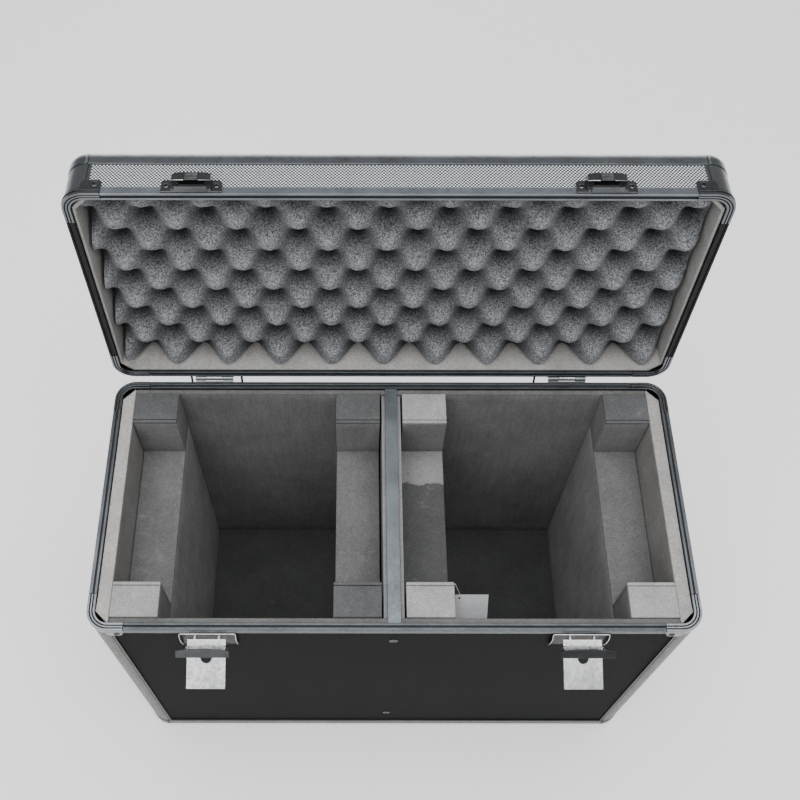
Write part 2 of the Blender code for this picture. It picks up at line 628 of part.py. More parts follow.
def make_lever(side, turn, finish):
    """The lever plate: knuckles, side flanges, two lugs with the claw's pin, and a round hole."""
    outer, inner = -LEVER_KNUCKLE, LEVER_WALL - LEVER_KNUCKLE
    lever = box((-LEVER_HALF, outer, -LEVER_LENGTH), (LEVER_HALF, inner, LEVER_TOP))
    lever = add_object(f"latch_lever_{side}", lever, turn, finish)
    for low, high in both_sides(*LEVER_KNUCKLE_SPAN):
        boolean(lever, "UNION", rod_x(low, high, LEVER_KNUCKLE, sides=20))
    for low, high in both_sides(*LEVER_NOTCH_SPAN):
        notch = box((low, -2 * LEVER_KNUCKLE, LEVER_NOTCH_Z[0]), (high, THROUGH, LEVER_NOTCH_Z[1]))
        boolean(lever, "DIFFERENCE", notch)
    flange_low = outer + OVERLAP
    for low, high in both_sides(LEVER_HALF - LATCH_BASE_WALL, LEVER_HALF):
        flange = box((low, flange_low, -LEVER_LENGTH), (high, LEVER_TOP, -LEVER_HALF / 4))
        boolean(lever, "UNION", flange)
    claw_y, claw_z = CLAW_AXIS
    lug_y, lug_z = LEVER_LUG_HALF
    for low, high in both_sides(*LEVER_LUG_SPAN):
        lug = box((low, claw_y - lug_y, claw_z - lug_z), (high, outer + OVERLAP, claw_z + lug_z))
        boolean(lever, "UNION", lug)
    pin_half = sum(LEVER_LUG_SPAN) / 2
    boolean(lever, "UNION", rod_x(-pin_half, pin_half, CLAW_PIN, claw_y, claw_z))
    boolean(lever, "DIFFERENCE", rod_x(-THROUGH, THROUGH, PIN_HOLE, sides=20))
    hole = rod_y(-THROUGH, THROUGH, LEVER_HOLE, z=LEVER_HOLE_Z, sides=20)
    boolean(lever, "DIFFERENCE", hole)


def make_claw(side, joint, finish):
    """The claw plate: a barrel on the lever's pin, a narrow neck, wide shoulders and a lip to hook with."""
    half_wall = CLAW_WALL / 2
    foot, neck, shoulder = CLAW_NECK
    right = [(CLAW_FOOT, foot), (CLAW_FOOT, neck), (CLAW_HALF, shoulder), (CLAW_HALF, CLAW_HEIGHT)]
    outline = right + [(-u, v) for u, v in reversed(right)]
    plate = prism(outline, -half_wall, half_wall, lambda u, v, depth: (u, depth, v))
    claw = add_object(f"latch_claw_{side}", plate, joint, finish)
    lip_low = CLAW_HEIGHT - CLAW_LIP_WALL
    lip = box((-CLAW_HALF, 0, lip_low), (CLAW_HALF, CLAW_LIP - half_wall, CLAW_HEIGHT))
    boolean(claw, "UNION", lip)
    boolean(claw, "UNION", rod_x(-CLAW_FOOT, CLAW_FOOT, CLAW_BARREL))
    boolean(claw, "DIFFERENCE", rod_x(-THROUGH, THROUGH, CLAW_BORE))


def make_latch(side, x, body, finishes):
    """A spring draw latch, open: base cup, lever on the base's pin, and claw on the lever's pin."""
    make_latch_base(side, x, body, finishes["dark"])
    turn = add_empty(f"latch_axis_{side}", body, (x, *LEVER_AXIS), -LEVER_OPEN)
    make_lever(side, turn, finishes["steel"])
    joint = add_empty(f"claw_axis_{side}", turn, (0, *CLAW_AXIS), CLAW_OPEN)
    make_claw(side, joint, finishes["dark"])


def make_handle(side, sign, body, finishes):
    """A drop handle on a side wall: a backing plate with two eyes, and a U rod with a round grip."""
    face = HALF_X - PANEL_INSET + GAP
    axis_x = HALF_X + HANDLE_AXIS_OUT
    half = HANDLE_PLATE_HALF
    low_z, high_z = HANDLE_PLATE_Z
    plate = sorted((sign * face, sign * (face + HANDLE_PLATE_WALL)))
    base = box((plate[0], -half, low_z), (plate[1], half, high_z))
    base = add_object(f"handle_plate_{side}", base, body, finishes["dark"])
    low_z, high_z = HANDLE_AXIS_Z - HANDLE_EYE_HALF, HANDLE_AXIS_Z + HANDLE_EYE_HALF
    eye_back = face + HANDLE_PLATE_WALL - OVERLAP
    ends = sorted((sign * eye_back, sign * (axis_x + HANDLE_EYE_HALF)))
    for low, high in both_sides(*HANDLE_EYE_SPAN):
        boolean(base, "UNION", box((ends[0], low, low_z), (ends[1], high, high_z)))
    bore = rod_y(-half, half, HANDLE_ROD + WIRE_PLAY, sign * axis_x, HANDLE_AXIS_Z, sides=12)
    boolean(base, "DIFFERENCE", bore)

    axis = add_empty(f"handle_axis_{side}", body, (sign * axis_x, 0, HANDLE_AXIS_Z))
    points = [(0, -HANDLE_ROD_END, 0), (0, -HANDLE_HALF, 0), (0, -HANDLE_HALF, -HANDLE_DROP)]
    points += [(0, HANDLE_HALF, -HANDLE_DROP), (0, HANDLE_HALF, 0), (0, HANDLE_ROD_END, 0)]
    handle = tube(filleted(points), HANDLE_ROD, (1, 0, 0), sides=12)
    handle = add_object(f"carry_handle_{side}", handle, axis, finishes["black"])
    grip = rod_y(-HANDLE_GRIP_HALF, HANDLE_GRIP_HALF, HANDLE_GRIP, z=-HANDLE_DROP)
    boolean(handle, "UNION", grip)


def make_tag(body, finish):
    """A blank card tag in the right compartment, its foot leaning on the front lining."""
    width, thick, height = TAG_SIZE
    card = box((-width / 2, -thick / 2, -height), (width / 2, thick / 2, 0))
    tag = add_object("hang_tag", card, body, finish, TAG_TOP)
    tag.rotation_euler.x = -TAG_LEAN


def main():
    clear_scene()
    finishes = {
        "trim": material("anodised_trim", (0.20, 0.22, 0.24), 0.35, 1.0),
        "post": material("dark_corner_extrusion", (0.10, 0.095, 0.09), 0.4, 1.0),
        "panel": material("textured_panel", (0.06, 0.065, 0.07), 0.5, 0.3),
        "lining": material("light_foam_sheet", (0.36, 0.35, 0.34), 0.9),
        "floor": material("dark_floor_sheet", (0.05, 0.05, 0.055), 0.6),
        "pad": material("support_foam", (0.22, 0.22, 0.22), 0.9),
        "cap": material("blue_grey_cap", (0.14, 0.16, 0.18), 0.45, 0.6),
        "foam": material("egg_crate_foam_grey", (0.12, 0.125, 0.13), 1.0),
        "hinge": material("plated_hinge_steel", (0.30, 0.32, 0.33), 0.3, 1.0),
        "steel": material("satin_steel", (0.75, 0.76, 0.77), 0.25, 1.0),
        "dark": material("dark_plated_steel", (0.16, 0.17, 0.18), 0.3, 1.0),
        "black": material("black_rod", (0.015, 0.015, 0.016), 0.4),
        "rubber": material("black_rubber", (0.02, 0.02, 0.02), 0.8),
        "card": material("white_card", (0.85, 0.85, 0.85), 0.7),
    }
    body = add_empty("rim_plane_centre", None, (0, BOX_CENTRE_Y, RIM_Z))
    hinge_line = add_empty("lid_hinge_axis", body, (0, HINGE_Y, HINGE_ABOVE), -OPEN_ANGLE)
    lid = add_empty("lid_rim_plane_centre", hinge_line, (0, -HINGE_Y, -HINGE_ABOVE))
    make_body_shell(body, finishes)
    make_linings(body, finishes)
    make_divider(body, finishes)
    make_pads(body, finishes["pad"])
    make_feet(body, finishes["rubber"])
    make_lid_shell(lid, finishes)
    make_lid_lining(lid, finishes)
    for side, sign in (("left", -1), ("right", 1)):
        make_hinge(side, sign * HINGE_X, body, lid, finishes)
        make_stay(side, sign * HINGE_X, lid, finishes["black"])
        make_catch(side, sign * LATCH_X, lid, finishes["dark"])
        make_latch(side, sign * LATCH_X, body, finishes)
        make_handle(side, sign, body, finishes)
    make_tag(body, finishes["card"])


main()
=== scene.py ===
import json
import math

import bmesh
import bpy
from mathutils import Matrix, Vector, noise


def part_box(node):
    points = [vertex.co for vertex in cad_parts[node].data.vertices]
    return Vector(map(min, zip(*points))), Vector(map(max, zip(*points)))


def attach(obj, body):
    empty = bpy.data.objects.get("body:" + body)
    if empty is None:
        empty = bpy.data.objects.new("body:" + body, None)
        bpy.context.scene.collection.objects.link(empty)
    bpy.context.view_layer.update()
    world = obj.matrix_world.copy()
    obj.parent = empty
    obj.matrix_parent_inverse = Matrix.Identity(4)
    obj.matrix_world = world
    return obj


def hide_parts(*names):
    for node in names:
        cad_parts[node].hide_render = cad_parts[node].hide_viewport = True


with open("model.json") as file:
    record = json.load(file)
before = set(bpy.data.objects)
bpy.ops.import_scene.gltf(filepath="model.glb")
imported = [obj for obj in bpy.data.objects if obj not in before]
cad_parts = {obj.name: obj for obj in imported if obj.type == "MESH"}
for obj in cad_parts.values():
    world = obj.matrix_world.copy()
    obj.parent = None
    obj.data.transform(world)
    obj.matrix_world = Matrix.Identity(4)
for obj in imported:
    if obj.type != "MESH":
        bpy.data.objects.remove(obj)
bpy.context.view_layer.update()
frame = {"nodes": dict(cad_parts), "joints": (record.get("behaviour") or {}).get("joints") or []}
JOINTS = {joint["name"]: joint for joint in frame["joints"]}
SIDES = (("left", -1), ("right", 1))
ENDS = (("front", -1), ("back", 1))
CORNERS = [(f"{end}_{side}", sign_x, sign_y) for end, sign_y in ENDS for side, sign_x in SIDES]
RUNS = ("front", "back", "left", "right")

# Sizes in metres. Every piece is written in the frame of the body it rides on: the rim plane's
# centre for the case, the same axes for the closed lid, and the pivot for levers and claws.
rim_low, rim_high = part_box("body_rim_frame")
HALF_X = (rim_high.x - rim_low.x) / 2
HALF_Y = (rim_high.y - rim_low.y) / 2
BODY_HEIGHT = rim_high.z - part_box("body_base_frame")[0].z
CORNER = 0.022
PANEL_INSET = 0.0019
BOARD_INSET = 0.008
RIM_WIDTH = 0.008
RIM_FLANGE = 0.009
RIM_WEB = 0.004
WALL = 0.0016
GAP = 0.0003
SEAM = 0.00025
CASTING_LEG = 0.038
CASTING_PROUD = 0.0002
CASTING_LIPS = ((0.0, 0.0021), (0.0030, 0.0048), (0.0057, 0.008))
CASTING_GROOVE = 0.0016
BODY_GROOVE = (0.0036, 0.0054, 0.0018)
LID_GROOVE = (0.0024, 0.006, 0.002)
LID_RIM_GAP = 0.0004
ROOF_RADIUS = 0.010
ROOF_LEDGE = 0.018
EDGE_CAP_LEG = 0.0222
BASE_FLANGE = 0.018
BASE_LEDGE = 0.017
LINING_TOP = -0.003
LINING_CHAMFER = 0.0122
CLEAR_Y = HALF_Y - BOARD_INSET - GAP - 0.0057
FLOOR = -0.400
PAD_TOP = -0.001
PAD_SHELF = -0.072
PAD_BLOCK = 0.037
FACING = 0.004
DIVIDER_HALF = 0.01075
DIVIDER_CORE_HALF = 0.0058
CAP_TOP = -0.001
CAP_LEG = 0.005

CASE = Matrix.Translation(((rim_low.x + rim_high.x) / 2, (rim_low.y + rim_high.y) / 2, rim_high.z))


def joint_place(name):
    return Matrix.Translation(JOINTS[name]["pos_m"])


def joint_limit(name):
    return math.radians(JOINTS[name]["range_deg"][1])


def rotation_x(angle):
    return Matrix.Rotation(angle, 4, "X")


LID_TURN = joint_limit("lid_hinge")
hinge_in_case = CASE.inverted() @ joint_place("lid_hinge")
LID = joint_place("lid_hinge") @ rotation_x(-LID_TURN) @ hinge_in_case.inverted()
HOMES = {"case": CASE, "lid": LID}
for one_side, _ in SIDES:
    lever, claw = f"latch_{one_side}_lever", f"latch_{one_side}_claw"
    HOMES[f"lever_{one_side}"] = joint_place(lever) @ rotation_x(-joint_limit(lever))
    HOMES[f"claw_{one_side}"] = joint_place(claw) @ rotation_x(joint_limit(claw) - joint_limit(lever))
    HOMES[f"handle_{one_side}"] = joint_place(f"handle_{one_side}_swing")


def local_box(node, place):
    """A CAD node's lowest and highest corners in the frame of a placement."""
    inverse = place.inverted()
    points = [inverse @ v.co for v in frame["nodes"][node].data.vertices]
    corners = [[pick(p[axis] for p in points) for axis in range(3)] for pick in (min, max)]
    return Vector(corners[0]), Vector(corners[1])


roof_low, roof_high = local_box("lid_roof_frame", LID)
ROOF_FLANGE_LOW, LID_HEIGHT = roof_low.z, roof_high.z
ROOF_WEB = LID_HEIGHT - 0.0097
ROOF_UNDER = LID_HEIGHT - WALL


# ---------------------------------------------------------------- materials


class Finish:
    """A Principled material whose colour, roughness and bump come from noise in object space."""

    def __init__(self, name, colour, roughness, metallic=0.0, turn=0.0, specular=0.5):
        self.material = bpy.data.materials.new(name)
        self.material.use_nodes = True
        self.tree = self.material.node_tree
        self.shader = self.tree.nodes["Principled BSDF"]
        self.shader.inputs["Base Color"].default_value = (*colour, 1)
        self.shader.inputs["Roughness"].default_value = roughness
        self.shader.inputs["Metallic"].default_value = metallic
        self.shader.inputs["Specular IOR Level"].default_value = specular
        coordinates = self.node("TexCoord").outputs["Object"]
        turned = self.node("Mapping", {"Vector": coordinates, "Rotation": (turn, 0, 0)})
        self.vector = turned.outputs["Vector"]
        self.colour = (*colour, 1)
        self.normal = None

    def node(self, kind, inputs=(), **settings):
        """A new node with these settings, and these values or sockets on its inputs."""
        node = self.tree.nodes.new("ShaderNode" + kind)
        for key, value in settings.items():
            setattr(node, key, value)
        for key, value in dict(inputs).items():
            if isinstance(value, bpy.types.NodeSocket):
                self.tree.links.new(value, node.inputs[key])
            else:
                node.inputs[key].default_value = value
        return node

    def wire(self, value, name):
        self.tree.links.new(value, self.shader.inputs[name])
        return self

    def math(self, operation, *values):
        return self.node("Math", enumerate(values), operation=operation).outputs[0]

    def spread(self, value, low, high, to_low, to_high):
        ends = {"From Min": low, "From Max": high, "To Min": to_low, "To Max": to_high}
        return self.node("MapRange", {"Value": value, **ends}).outputs["Result"]

    def noise(self, scale, detail=2.0, stretch=(1, 1, 1), roughness=0.5):
        stretched = self.node("Mapping", {"Scale": stretch, "Vector": self.vector}).outputs["Vector"]
        inputs = {"Scale": scale, "Detail": detail, "Roughness": roughness, "Vector": stretched}
        return self.node("TexNoise", inputs).outputs["Fac"]

    def cells(self, scale):
        """A random value for each small cell, from 0 to 1."""
        colour = self.node("TexVoronoi", {"Scale": scale, "Vector": self.vector}).outputs["Color"]
        return self.node("SeparateXYZ", {0: colour}).outputs["X"]

    def axis(self, name):
        return self.node("SeparateXYZ", {0: self.vector}).outputs[name]

    def tint(self, factor):
        """Multiplies the base colour by a factor socket."""
        start = self.colour[:3] if isinstance(self.colour, tuple) else self.colour
        self.colour = self.node("VectorMath", {0: start, "Scale": factor}, operation="SCALE").outputs[0]
        return self.wire(self.colour, "Base Color")

    def mottle(self, low, high, scale, detail=2.0, stretch=(1, 1, 1), roughness=0.5):
        """Varies the base colour between two factors by noise."""
        return self.tint(self.spread(self.noise(scale, detail, stretch, roughness), 0.3, 0.7, low, high))

    def towards(self, colour, factor):
        """Blends the base colour towards another one by a factor socket."""
        inputs = {0: factor, 6: self.colour, 7: (*colour, 1)}
        self.colour = self.node("Mix", inputs, data_type="RGBA").outputs[2]
        return self.wire(self.colour, "Base Color")

    def gloss(self, value):
        return self.wire(value, "Roughness")

    def bump(self, height, distance, strength=1.0):
        inputs = {"Strength": strength, "Distance": distance, "Height": height}
        if self.normal is not None:
            inputs["Normal"] = self.normal
        self.normal = self.node("Bump", inputs).outputs["Normal"]
        return self.wire(self.normal, "Normal")


def rubbed_shade(colour, gain, lift):
    """The paler shade of a colour where its surface is rubbed."""
    return tuple(min(1, gain * c + lift) for c in colour)


def metal(name, colour, roughness, turn=0.0, brushed=(1, 1, 1), wear=0.3, metallic=1.0, edge=None):
    """Plated or anodised metal: brushed grain, cloudy tarnish, paler rubbed patches and, where an edge band
    is given, a painted highlight that pales the colour upwards.
    """
    finish = Finish(name, colour, roughness, metallic, turn)
    # Painted highlight: where an edge band is given, the colour pales towards its highlight colour from the
    # start height to the end height.
    if edge:
        start, end, highlight_colour = edge
        finish.towards(highlight_colour, finish.spread(finish.axis("Z"), start, end, 0, 1))
    finish.mottle(1 - wear / 2, 1 + wear / 2, 38, 4)
    grain = finish.noise(900, 2, brushed, 0.6)
    finish.tint(finish.spread(grain, 0.3, 0.7, 0.93, 1.07))
    rubbed = finish.spread(finish.noise(150, 5, brushed, 0.7), 0.62, 0.78, 0, wear)
    finish.towards(rubbed_shade(colour, 1.6, 0.06), rubbed)
    finish.gloss(finish.spread(finish.noise(260, 3), 0.3, 0.7, roughness * 0.8, roughness * 1.25))
    return finish.bump(grain, 0.00002, 0.3).material


def foam(name, colour, cut=None, level=-0.0042, roughness=0.92, scuff=0.25, streaks=0.08, patch=None):
    """Closed-cell foam: fine cells, mottling, scuffs, long scratches and another shade on the top faces
    above a level: painted light and shade on the tops, and on the patched pad also its peeled skin.
    """
    finish = Finish(name, colour, roughness, specular=0.25)
    # cut: the colour painted on the top faces above the level, for the light and shade there.
    if cut:
        finish.towards(cut, finish.spread(finish.axis("Z"), level - 0.0006, level, 0, 1))
    if patch:
        start, clean = patch
        ragged = finish.math("MULTIPLY_ADD", finish.noise(45, 4), 0.03, finish.axis("Y"))
        finish.towards(clean, finish.spread(ragged, start, start + 0.002, 0, 1))
    speckle = finish.cells(1000)
    finish.mottle(0.85, 1.15, 20, 5, roughness=0.6)
    finish.tint(finish.spread(speckle, 0, 1, 0.84, 1.16))
    finish.mottle(0.86, 1.14, 500, 3, roughness=0.7)
    marks = finish.spread(finish.noise(60, 6, roughness=0.78), 0.57, 0.78, 0, scuff)
    finish.towards(rubbed_shade(colour, 1.6, 0.03), marks)
    lines = finish.noise(26, 6, (6, 6, 0.6), 0.8)
    finish.tint(finish.spread(lines, 0.35, 0.7, 1 - streaks, 1 + streaks))
    finish.gloss(finish.spread(speckle, 0, 1, roughness - 0.1, min(1, roughness + 0.05)))
    finish.bump(finish.noise(260, 4), 0.0005, 0.5)
    return finish.bump(speckle, 0.00012, 0.6).material


def crate_foam():
    """Open-cell foam: salt-and-pepper cells, with painted shade in the hollows between the bumps and painted
    light on the bump tips.
    """
    finish = Finish("egg_crate_foam", (0.15, 0.156, 0.164), 1.0, specular=0.1)
    finish.tint(finish.spread(finish.cells(1150), 0, 1, 0.3, 1.7))
    finish.mottle(0.5, 1.5, 500, 3, roughness=0.8)
    # Painted light and shade: the colour is brightened on the bump tips and darkened towards the hollows,
    # standing in for the shade between the bumps.
    finish.tint(finish.spread(finish.axis("Z"), 0.009, 0.034, 1.5, 0.12))
    finish.shader.inputs["Sheen Weight"].default_value = 0.1
    finish.bump(finish.noise(420, 4, roughness=0.8), 0.0009, 0.7)
    return finish.bump(finish.cells(900), 0.0005, 0.8).material


def diamond(name, across, up, colour, high, roughness, metallic, specular, turn=0.0):
    """A textured sheet with staggered raised diamonds, 3.3 mm apart in rows 1.86 mm apart."""
    finish = Finish(name, colour, roughness, metallic, turn, specular)
    pitch, row = 0.0033, 0.00186
    u = finish.math("COSINE", finish.math("MULTIPLY", finish.axis(across), 2 * math.pi / pitch))
    v = finish.math("COSINE", finish.math("MULTIPLY", finish.axis(up), math.pi / row))
    dots = finish.math("MULTIPLY", u, v)
    finish.mottle(0.86, 1.14, 16, 4)
    finish.mottle(0.8, 1.2, 420, 3, roughness=0.7)
    finish.towards(high, finish.spread(dots, 0.1, 0.4, 0, 1))
    finish.gloss(finish.spread(dots, -0.4, 0.8, roughness * 1.2, roughness * 0.8))
    finish.bump(finish.noise(900, 2), 0.00008, 0.5)
    return finish.bump(dots, 0.0003, 0.8).material


def paper():
    finish = Finish("tag_card", (0.43, 0.44, 0.45), 0.75, specular=0.3)
    fibres = finish.noise(500, 4, (1, 1, 0.4), 0.7)
    finish.tint(finish.spread(fibres, 0.3, 0.7, 0.93, 1.05))
    finish.mottle(0.93, 1.06, 60, 3)
    return finish.bump(fibres, 0.00005, 0.5).material


def rubber(name, colour, roughness):
    finish = Finish(name, colour, roughness, specular=0.35)
    grain = finish.noise(800, 3)
    finish.mottle(0.75, 1.3, 60, 4)
    finish.gloss(finish.spread(grain, 0.3, 0.7, roughness * 0.8, min(1, roughness * 1.25)))
    return finish.bump(grain, 0.0001, 0.6).material


def pale_floor():
    finish = Finish("studio_floor", (0.93, 0.93, 0.935), 0.8, specular=0.1)
    finish.mottle(0.985, 1.0, 3, 3)
    finish.shader.inputs["Emission Color"].default_value = (1, 1, 1, 1)
    finish.shader.inputs["Emission Strength"].default_value = 0.45
    return finish.material


LATCH_X = 0.187
ACROSS = Matrix.Rotation(math.pi / 2, 4, "Y")
PAD_SHELF_TONE_LEVEL = -0.0745
PAD_PATCH = (0.066, (0.22, 0.22, 0.218))
# The roof edge's painted highlight: the colour pales towards the top of the rounded edge, standing in for
# the reflection of the light behind the lid.
ROOF_SHINE = (LID_HEIGHT - 0.0115, LID_HEIGHT - 0.006, (0.80, 0.82, 0.84))
# The same diamond sheet in two copies: the body's is painted dark as shade, for its faces turn away from the
# overhead light; the lid's is painted paler as lit, and its raised diamonds are painted near white as the
# reflection of the overhead light.
BODY_SHEET_SHADED = ((0.0045, 0.0047, 0.005), (0.015, 0.0155, 0.0165), 0.6, 0.0, 0.03)
LID_SHEET_LIT = ((0.035, 0.038, 0.041), (0.88, 0.92, 0.95), 0.5, 0.1, 0.25)
along = {"x": (0.05, 1, 1), "y": (1, 0.05, 1), "z": (1, 1, 0.05)}
MATERIALS = {
    # One rim extrusion in several shades, painted as light and shade by face: the lid's front run paler as
    # lit, its side runs near black as shade, and the body's front, side and back runs each in the shade of
    # the light on them.
    "rim_front": metal("rim_extrusion_front", (0.068, 0.077, 0.086), 0.36, brushed=along["x"]),
    "rim_back": metal("rim_extrusion_back", (0.13, 0.145, 0.16), 0.34, brushed=along["x"]),
    "rim_side": metal("rim_extrusion_side", (0.11, 0.122, 0.132), 0.34, brushed=along["y"]),
    "lid_rim_front": metal("lid_extrusion_front", (0.22, 0.24, 0.265), 0.42, brushed=along["x"]),
    "lid_rim_side_shade": metal("lid_extrusion_side_painted_shade", (0.018, 0.019, 0.02), 0.4, brushed=along["y"], wear=0.15),
    "casting": metal("corner_casting", (0.14, 0.15, 0.16), 0.22, wear=0.15),
    "lid_casting": metal("lid_corner_casting", (0.14, 0.148, 0.158), 0.2, wear=0.15),
    "roof_edge": metal("roof_extrusion", (0.17, 0.185, 0.20), 0.32, brushed=along["x"], edge=ROOF_SHINE),
    "roof_cap": metal("roof_corner_cap", (0.15, 0.162, 0.175), 0.25, edge=ROOF_SHINE, wear=0.15),
    "bracket": metal("bracket_plate", (0.30, 0.30, 0.29), 0.35, wear=0.3),
    "lid_bracket": metal("lid_bracket_plate", (0.085, 0.09, 0.096), 0.32, wear=0.2),
    # The corner posts as lit and shaded copies of one extrusion: the body's painted darker as shade, the
    # lid's paler as lit.
    "post": metal("corner_post", (0.085, 0.083, 0.077), 0.42, brushed=along["z"]),
    "lid_post": metal("lid_corner_post", (0.17, 0.18, 0.19), 0.25, brushed=along["z"], wear=0.15),
    "base_edge": metal("base_extrusion", (0.10, 0.104, 0.108), 0.42, brushed=along["x"]),
    "body_front": diamond("body_sheet_front", "X", "Z", *BODY_SHEET_SHADED),
    "body_side": diamond("body_sheet_side", "Y", "Z", *BODY_SHEET_SHADED),
    "body_under": diamond("body_sheet_under", "X", "Y", *BODY_SHEET_SHADED),
    "lid_front": diamond("lid_sheet_front", "X", "Z", *LID_SHEET_LIT, turn=LID_TURN),
    "lid_side": diamond("lid_sheet_side", "Y", "Z", *LID_SHEET_LIT, turn=LID_TURN),
    "lid_roof": diamond("lid_sheet_roof", "X", "Y", *LID_SHEET_LIT, turn=LID_TURN),
    # The lining sheets are one foam in lit and shaded copies: their tops are painted paler as lit, the left
    # sheet's more than the right's, and the front and back sheets are painted darker as shade, for they get
    # little of the overhead light.
    "lining_left": foam("lining_sheet_left", (0.25, 0.245, 0.235), (0.40, 0.39, 0.375)),
    "lining": foam("lining_sheet_right", (0.25, 0.245, 0.235), (0.33, 0.325, 0.315)),
    "lining_shaded": foam(
        "lining_sheet_shaded", (0.185, 0.185, 0.185), (0.13, 0.13, 0.128), scuff=0.35, streaks=0.14
    ),
    "lid_lining": foam("lid_lining_sheet", (0.33, 0.325, 0.315)),
    "floor": foam("floor_sheet", (0.047, 0.048, 0.05), roughness=0.75, scuff=0.5),
    # The pad feet: one foam with the shelf tops painted darker than the sides, for the shade of the deep
    # recess. On the patched pad the shelf top is darker still, painted recess shade plus the real peeled
    # skin, with the paler unpeeled skin towards the back.
    "pad": foam("support_foam", (0.29, 0.29, 0.288), (0.133, 0.134, 0.134), PAD_SHELF_TONE_LEVEL, streaks=0.12),
    "pad_patched": foam(
        "support_foam_patched",
        (0.29, 0.29, 0.288),
        (0.075, 0.076, 0.076),
        PAD_SHELF_TONE_LEVEL,
        patch=PAD_PATCH,
    ),
    # The blocks' tops: pale on the blocks in LIGHT_BLOCKS, dark on the rest. The difference stands partly
    # for the blocks' own tone and partly for painted light and shade, with the lid shading the back blocks
    # from the overhead light.
    "pad_dark": foam("support_block_dark", (0.20, 0.20, 0.20), (0.096, 0.098, 0.10), streaks=0.1),
    "pad_light": foam("support_block_light", (0.20, 0.20, 0.20), (0.33, 0.335, 0.33)),
    # The divider facings' tops are painted paler than their sides as lit.
    "facing": foam("divider_facing", (0.19, 0.19, 0.19), (0.23, 0.235, 0.235), -0.009),
    "core": foam("divider_core", (0.10, 0.10, 0.10)),
    "crate": crate_foam(),
    "cap": metal("divider_channel", (0.13, 0.148, 0.16), 0.45, brushed=along["y"], wear=0.4, metallic=0.7),
    "hinge": metal("plated_hinge", (0.34, 0.36, 0.37), 0.3),
    "chrome": metal("bright_plating", (0.74, 0.75, 0.77), 0.22, wear=0.25),
    "dark_chrome": metal("dark_plating", (0.10, 0.105, 0.11), 0.25, wear=0.4),
    "claw": metal("claw_plating", (0.075, 0.08, 0.085), 0.35, wear=0.3),
    "tongue": metal("tongue_plating", (0.20, 0.205, 0.21), 0.3, wear=0.6),
    # Near black: partly the cup's plating, partly painted shade standing in for the dark inside of the cup;
    # the handle plates use the same finish.
    "cup": metal("latch_cup_plating_and_shade", (0.011, 0.0115, 0.012), 0.45, wear=0.15),
    "post_steel": metal("post_steel", (0.35, 0.36, 0.37), 0.35, wear=0.4),
    # Bright wires laid along the latch cup's and the catch's edges: painted highlights.
    "painted_edge_highlight": metal("painted_edge_highlight", (0.62, 0.63, 0.65), 0.25, wear=0.3),
    "coil": metal("spring_wire", (0.62, 0.46, 0.28), 0.35, wear=0.3),
    "screw": metal("screw_plating", (0.40, 0.415, 0.43), 0.28, wear=0.4),
    "dark_screw": metal("dark_screw_plating", (0.09, 0.094, 0.098), 0.3, wear=0.3),
    "wire": rubber("black_wire", (0.018, 0.018, 0.019), 0.38),
    "grip": rubber("handle_grip", (0.022, 0.022, 0.023), 0.6),
    "rubber": rubber("black_rubber", (0.020, 0.020, 0.020), 0.8),
    "card": paper(),
    "string": rubber("tag_string_fibre", (0.45, 0.45, 0.44), 0.9),
    "ground": pale_floor(),
}


# ---------------------------------------------------------------- mesh helpers


def piece(name, bm, body, finish, nodes=(), bevel=0.0, angle=35, place=None):
    """Turns a bmesh into a named piece that rides on a body and stands for CAD nodes."""
    bmesh.ops.recalc_face_normals(bm, faces=bm.faces)
    mesh = bpy.data.meshes.new(name)
    bm.to_mesh(mesh)
    bm.free()
    mesh.shade_smooth()
    mesh.set_sharp_from_angle(angle=math.radians(angle))
    mesh.materials.append(MATERIALS[finish])
    obj = bpy.data.objects.new(name, mesh)
    obj.matrix_world = HOMES[body] if place is None else place
    bpy.context.collection.objects.link(obj)
    if bevel:
        round_edges(obj, bevel)
    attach(obj, body)
    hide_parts(*nodes)
    return obj


def round_edges(obj, width, segments=2, angle=35):
    modifier = obj.modifiers.new("rounded edges", "BEVEL")
    modifier.width = width
    modifier.segments = segments
    modifier.limit_method = "ANGLE"
    modifier.angle_limit = math.radians(angle)
    modifier.harden_normals = True


def join(*parts):
    """One bmesh that holds several."""
    whole = bmesh.new()
    for part in parts:
        mesh = bpy.data.meshes.new("part")
        part.to_mesh(mesh)
        whole.from_mesh(mesh)
        bpy.data.meshes.remove(mesh)
        part.free()
    return whole


def block(low, high):
    bm = bmesh.new()
    low, high = Vector(low), Vector(high)
    size = Matrix.Diagonal((*(high - low), 1))
    bmesh.ops.create_cube(bm, size=1, matrix=Matrix.Translation((low + high) / 2) @ size)
    return bm


def prism(outline, low, high, place):
    """A closed outline pushed from low to high; place turns (u, v, depth) into x, y and z."""
    bm = bmesh.new()
    loops = [[bm.verts.new(place(u, v, depth)) for u, v in outline] for depth in (low, high)]
    count = len(outline)
    for k in range(count):
        bm.faces.new((loops[0][k], loops[0][(k + 1) % count], loops[1][(k + 1) % count], loops[1][k]))
    bm.faces.new(loops[0])
    bm.faces.new(loops[1])
    return bm


def along_x(u, v, depth):
    return (depth, u, v)


def along_y(u, v, depth):
    return (u, depth, v)


def along_z(u, v, depth):
    return (u, v, depth)


def arc(centre, radius, start, end, steps=8):
    angles = [math.radians(start + (end - start) * k / steps) for k in range(steps + 1)]
    return [(centre[0] + radius * math.cos(a), centre[1] + radius * math.sin(a)) for a in angles]


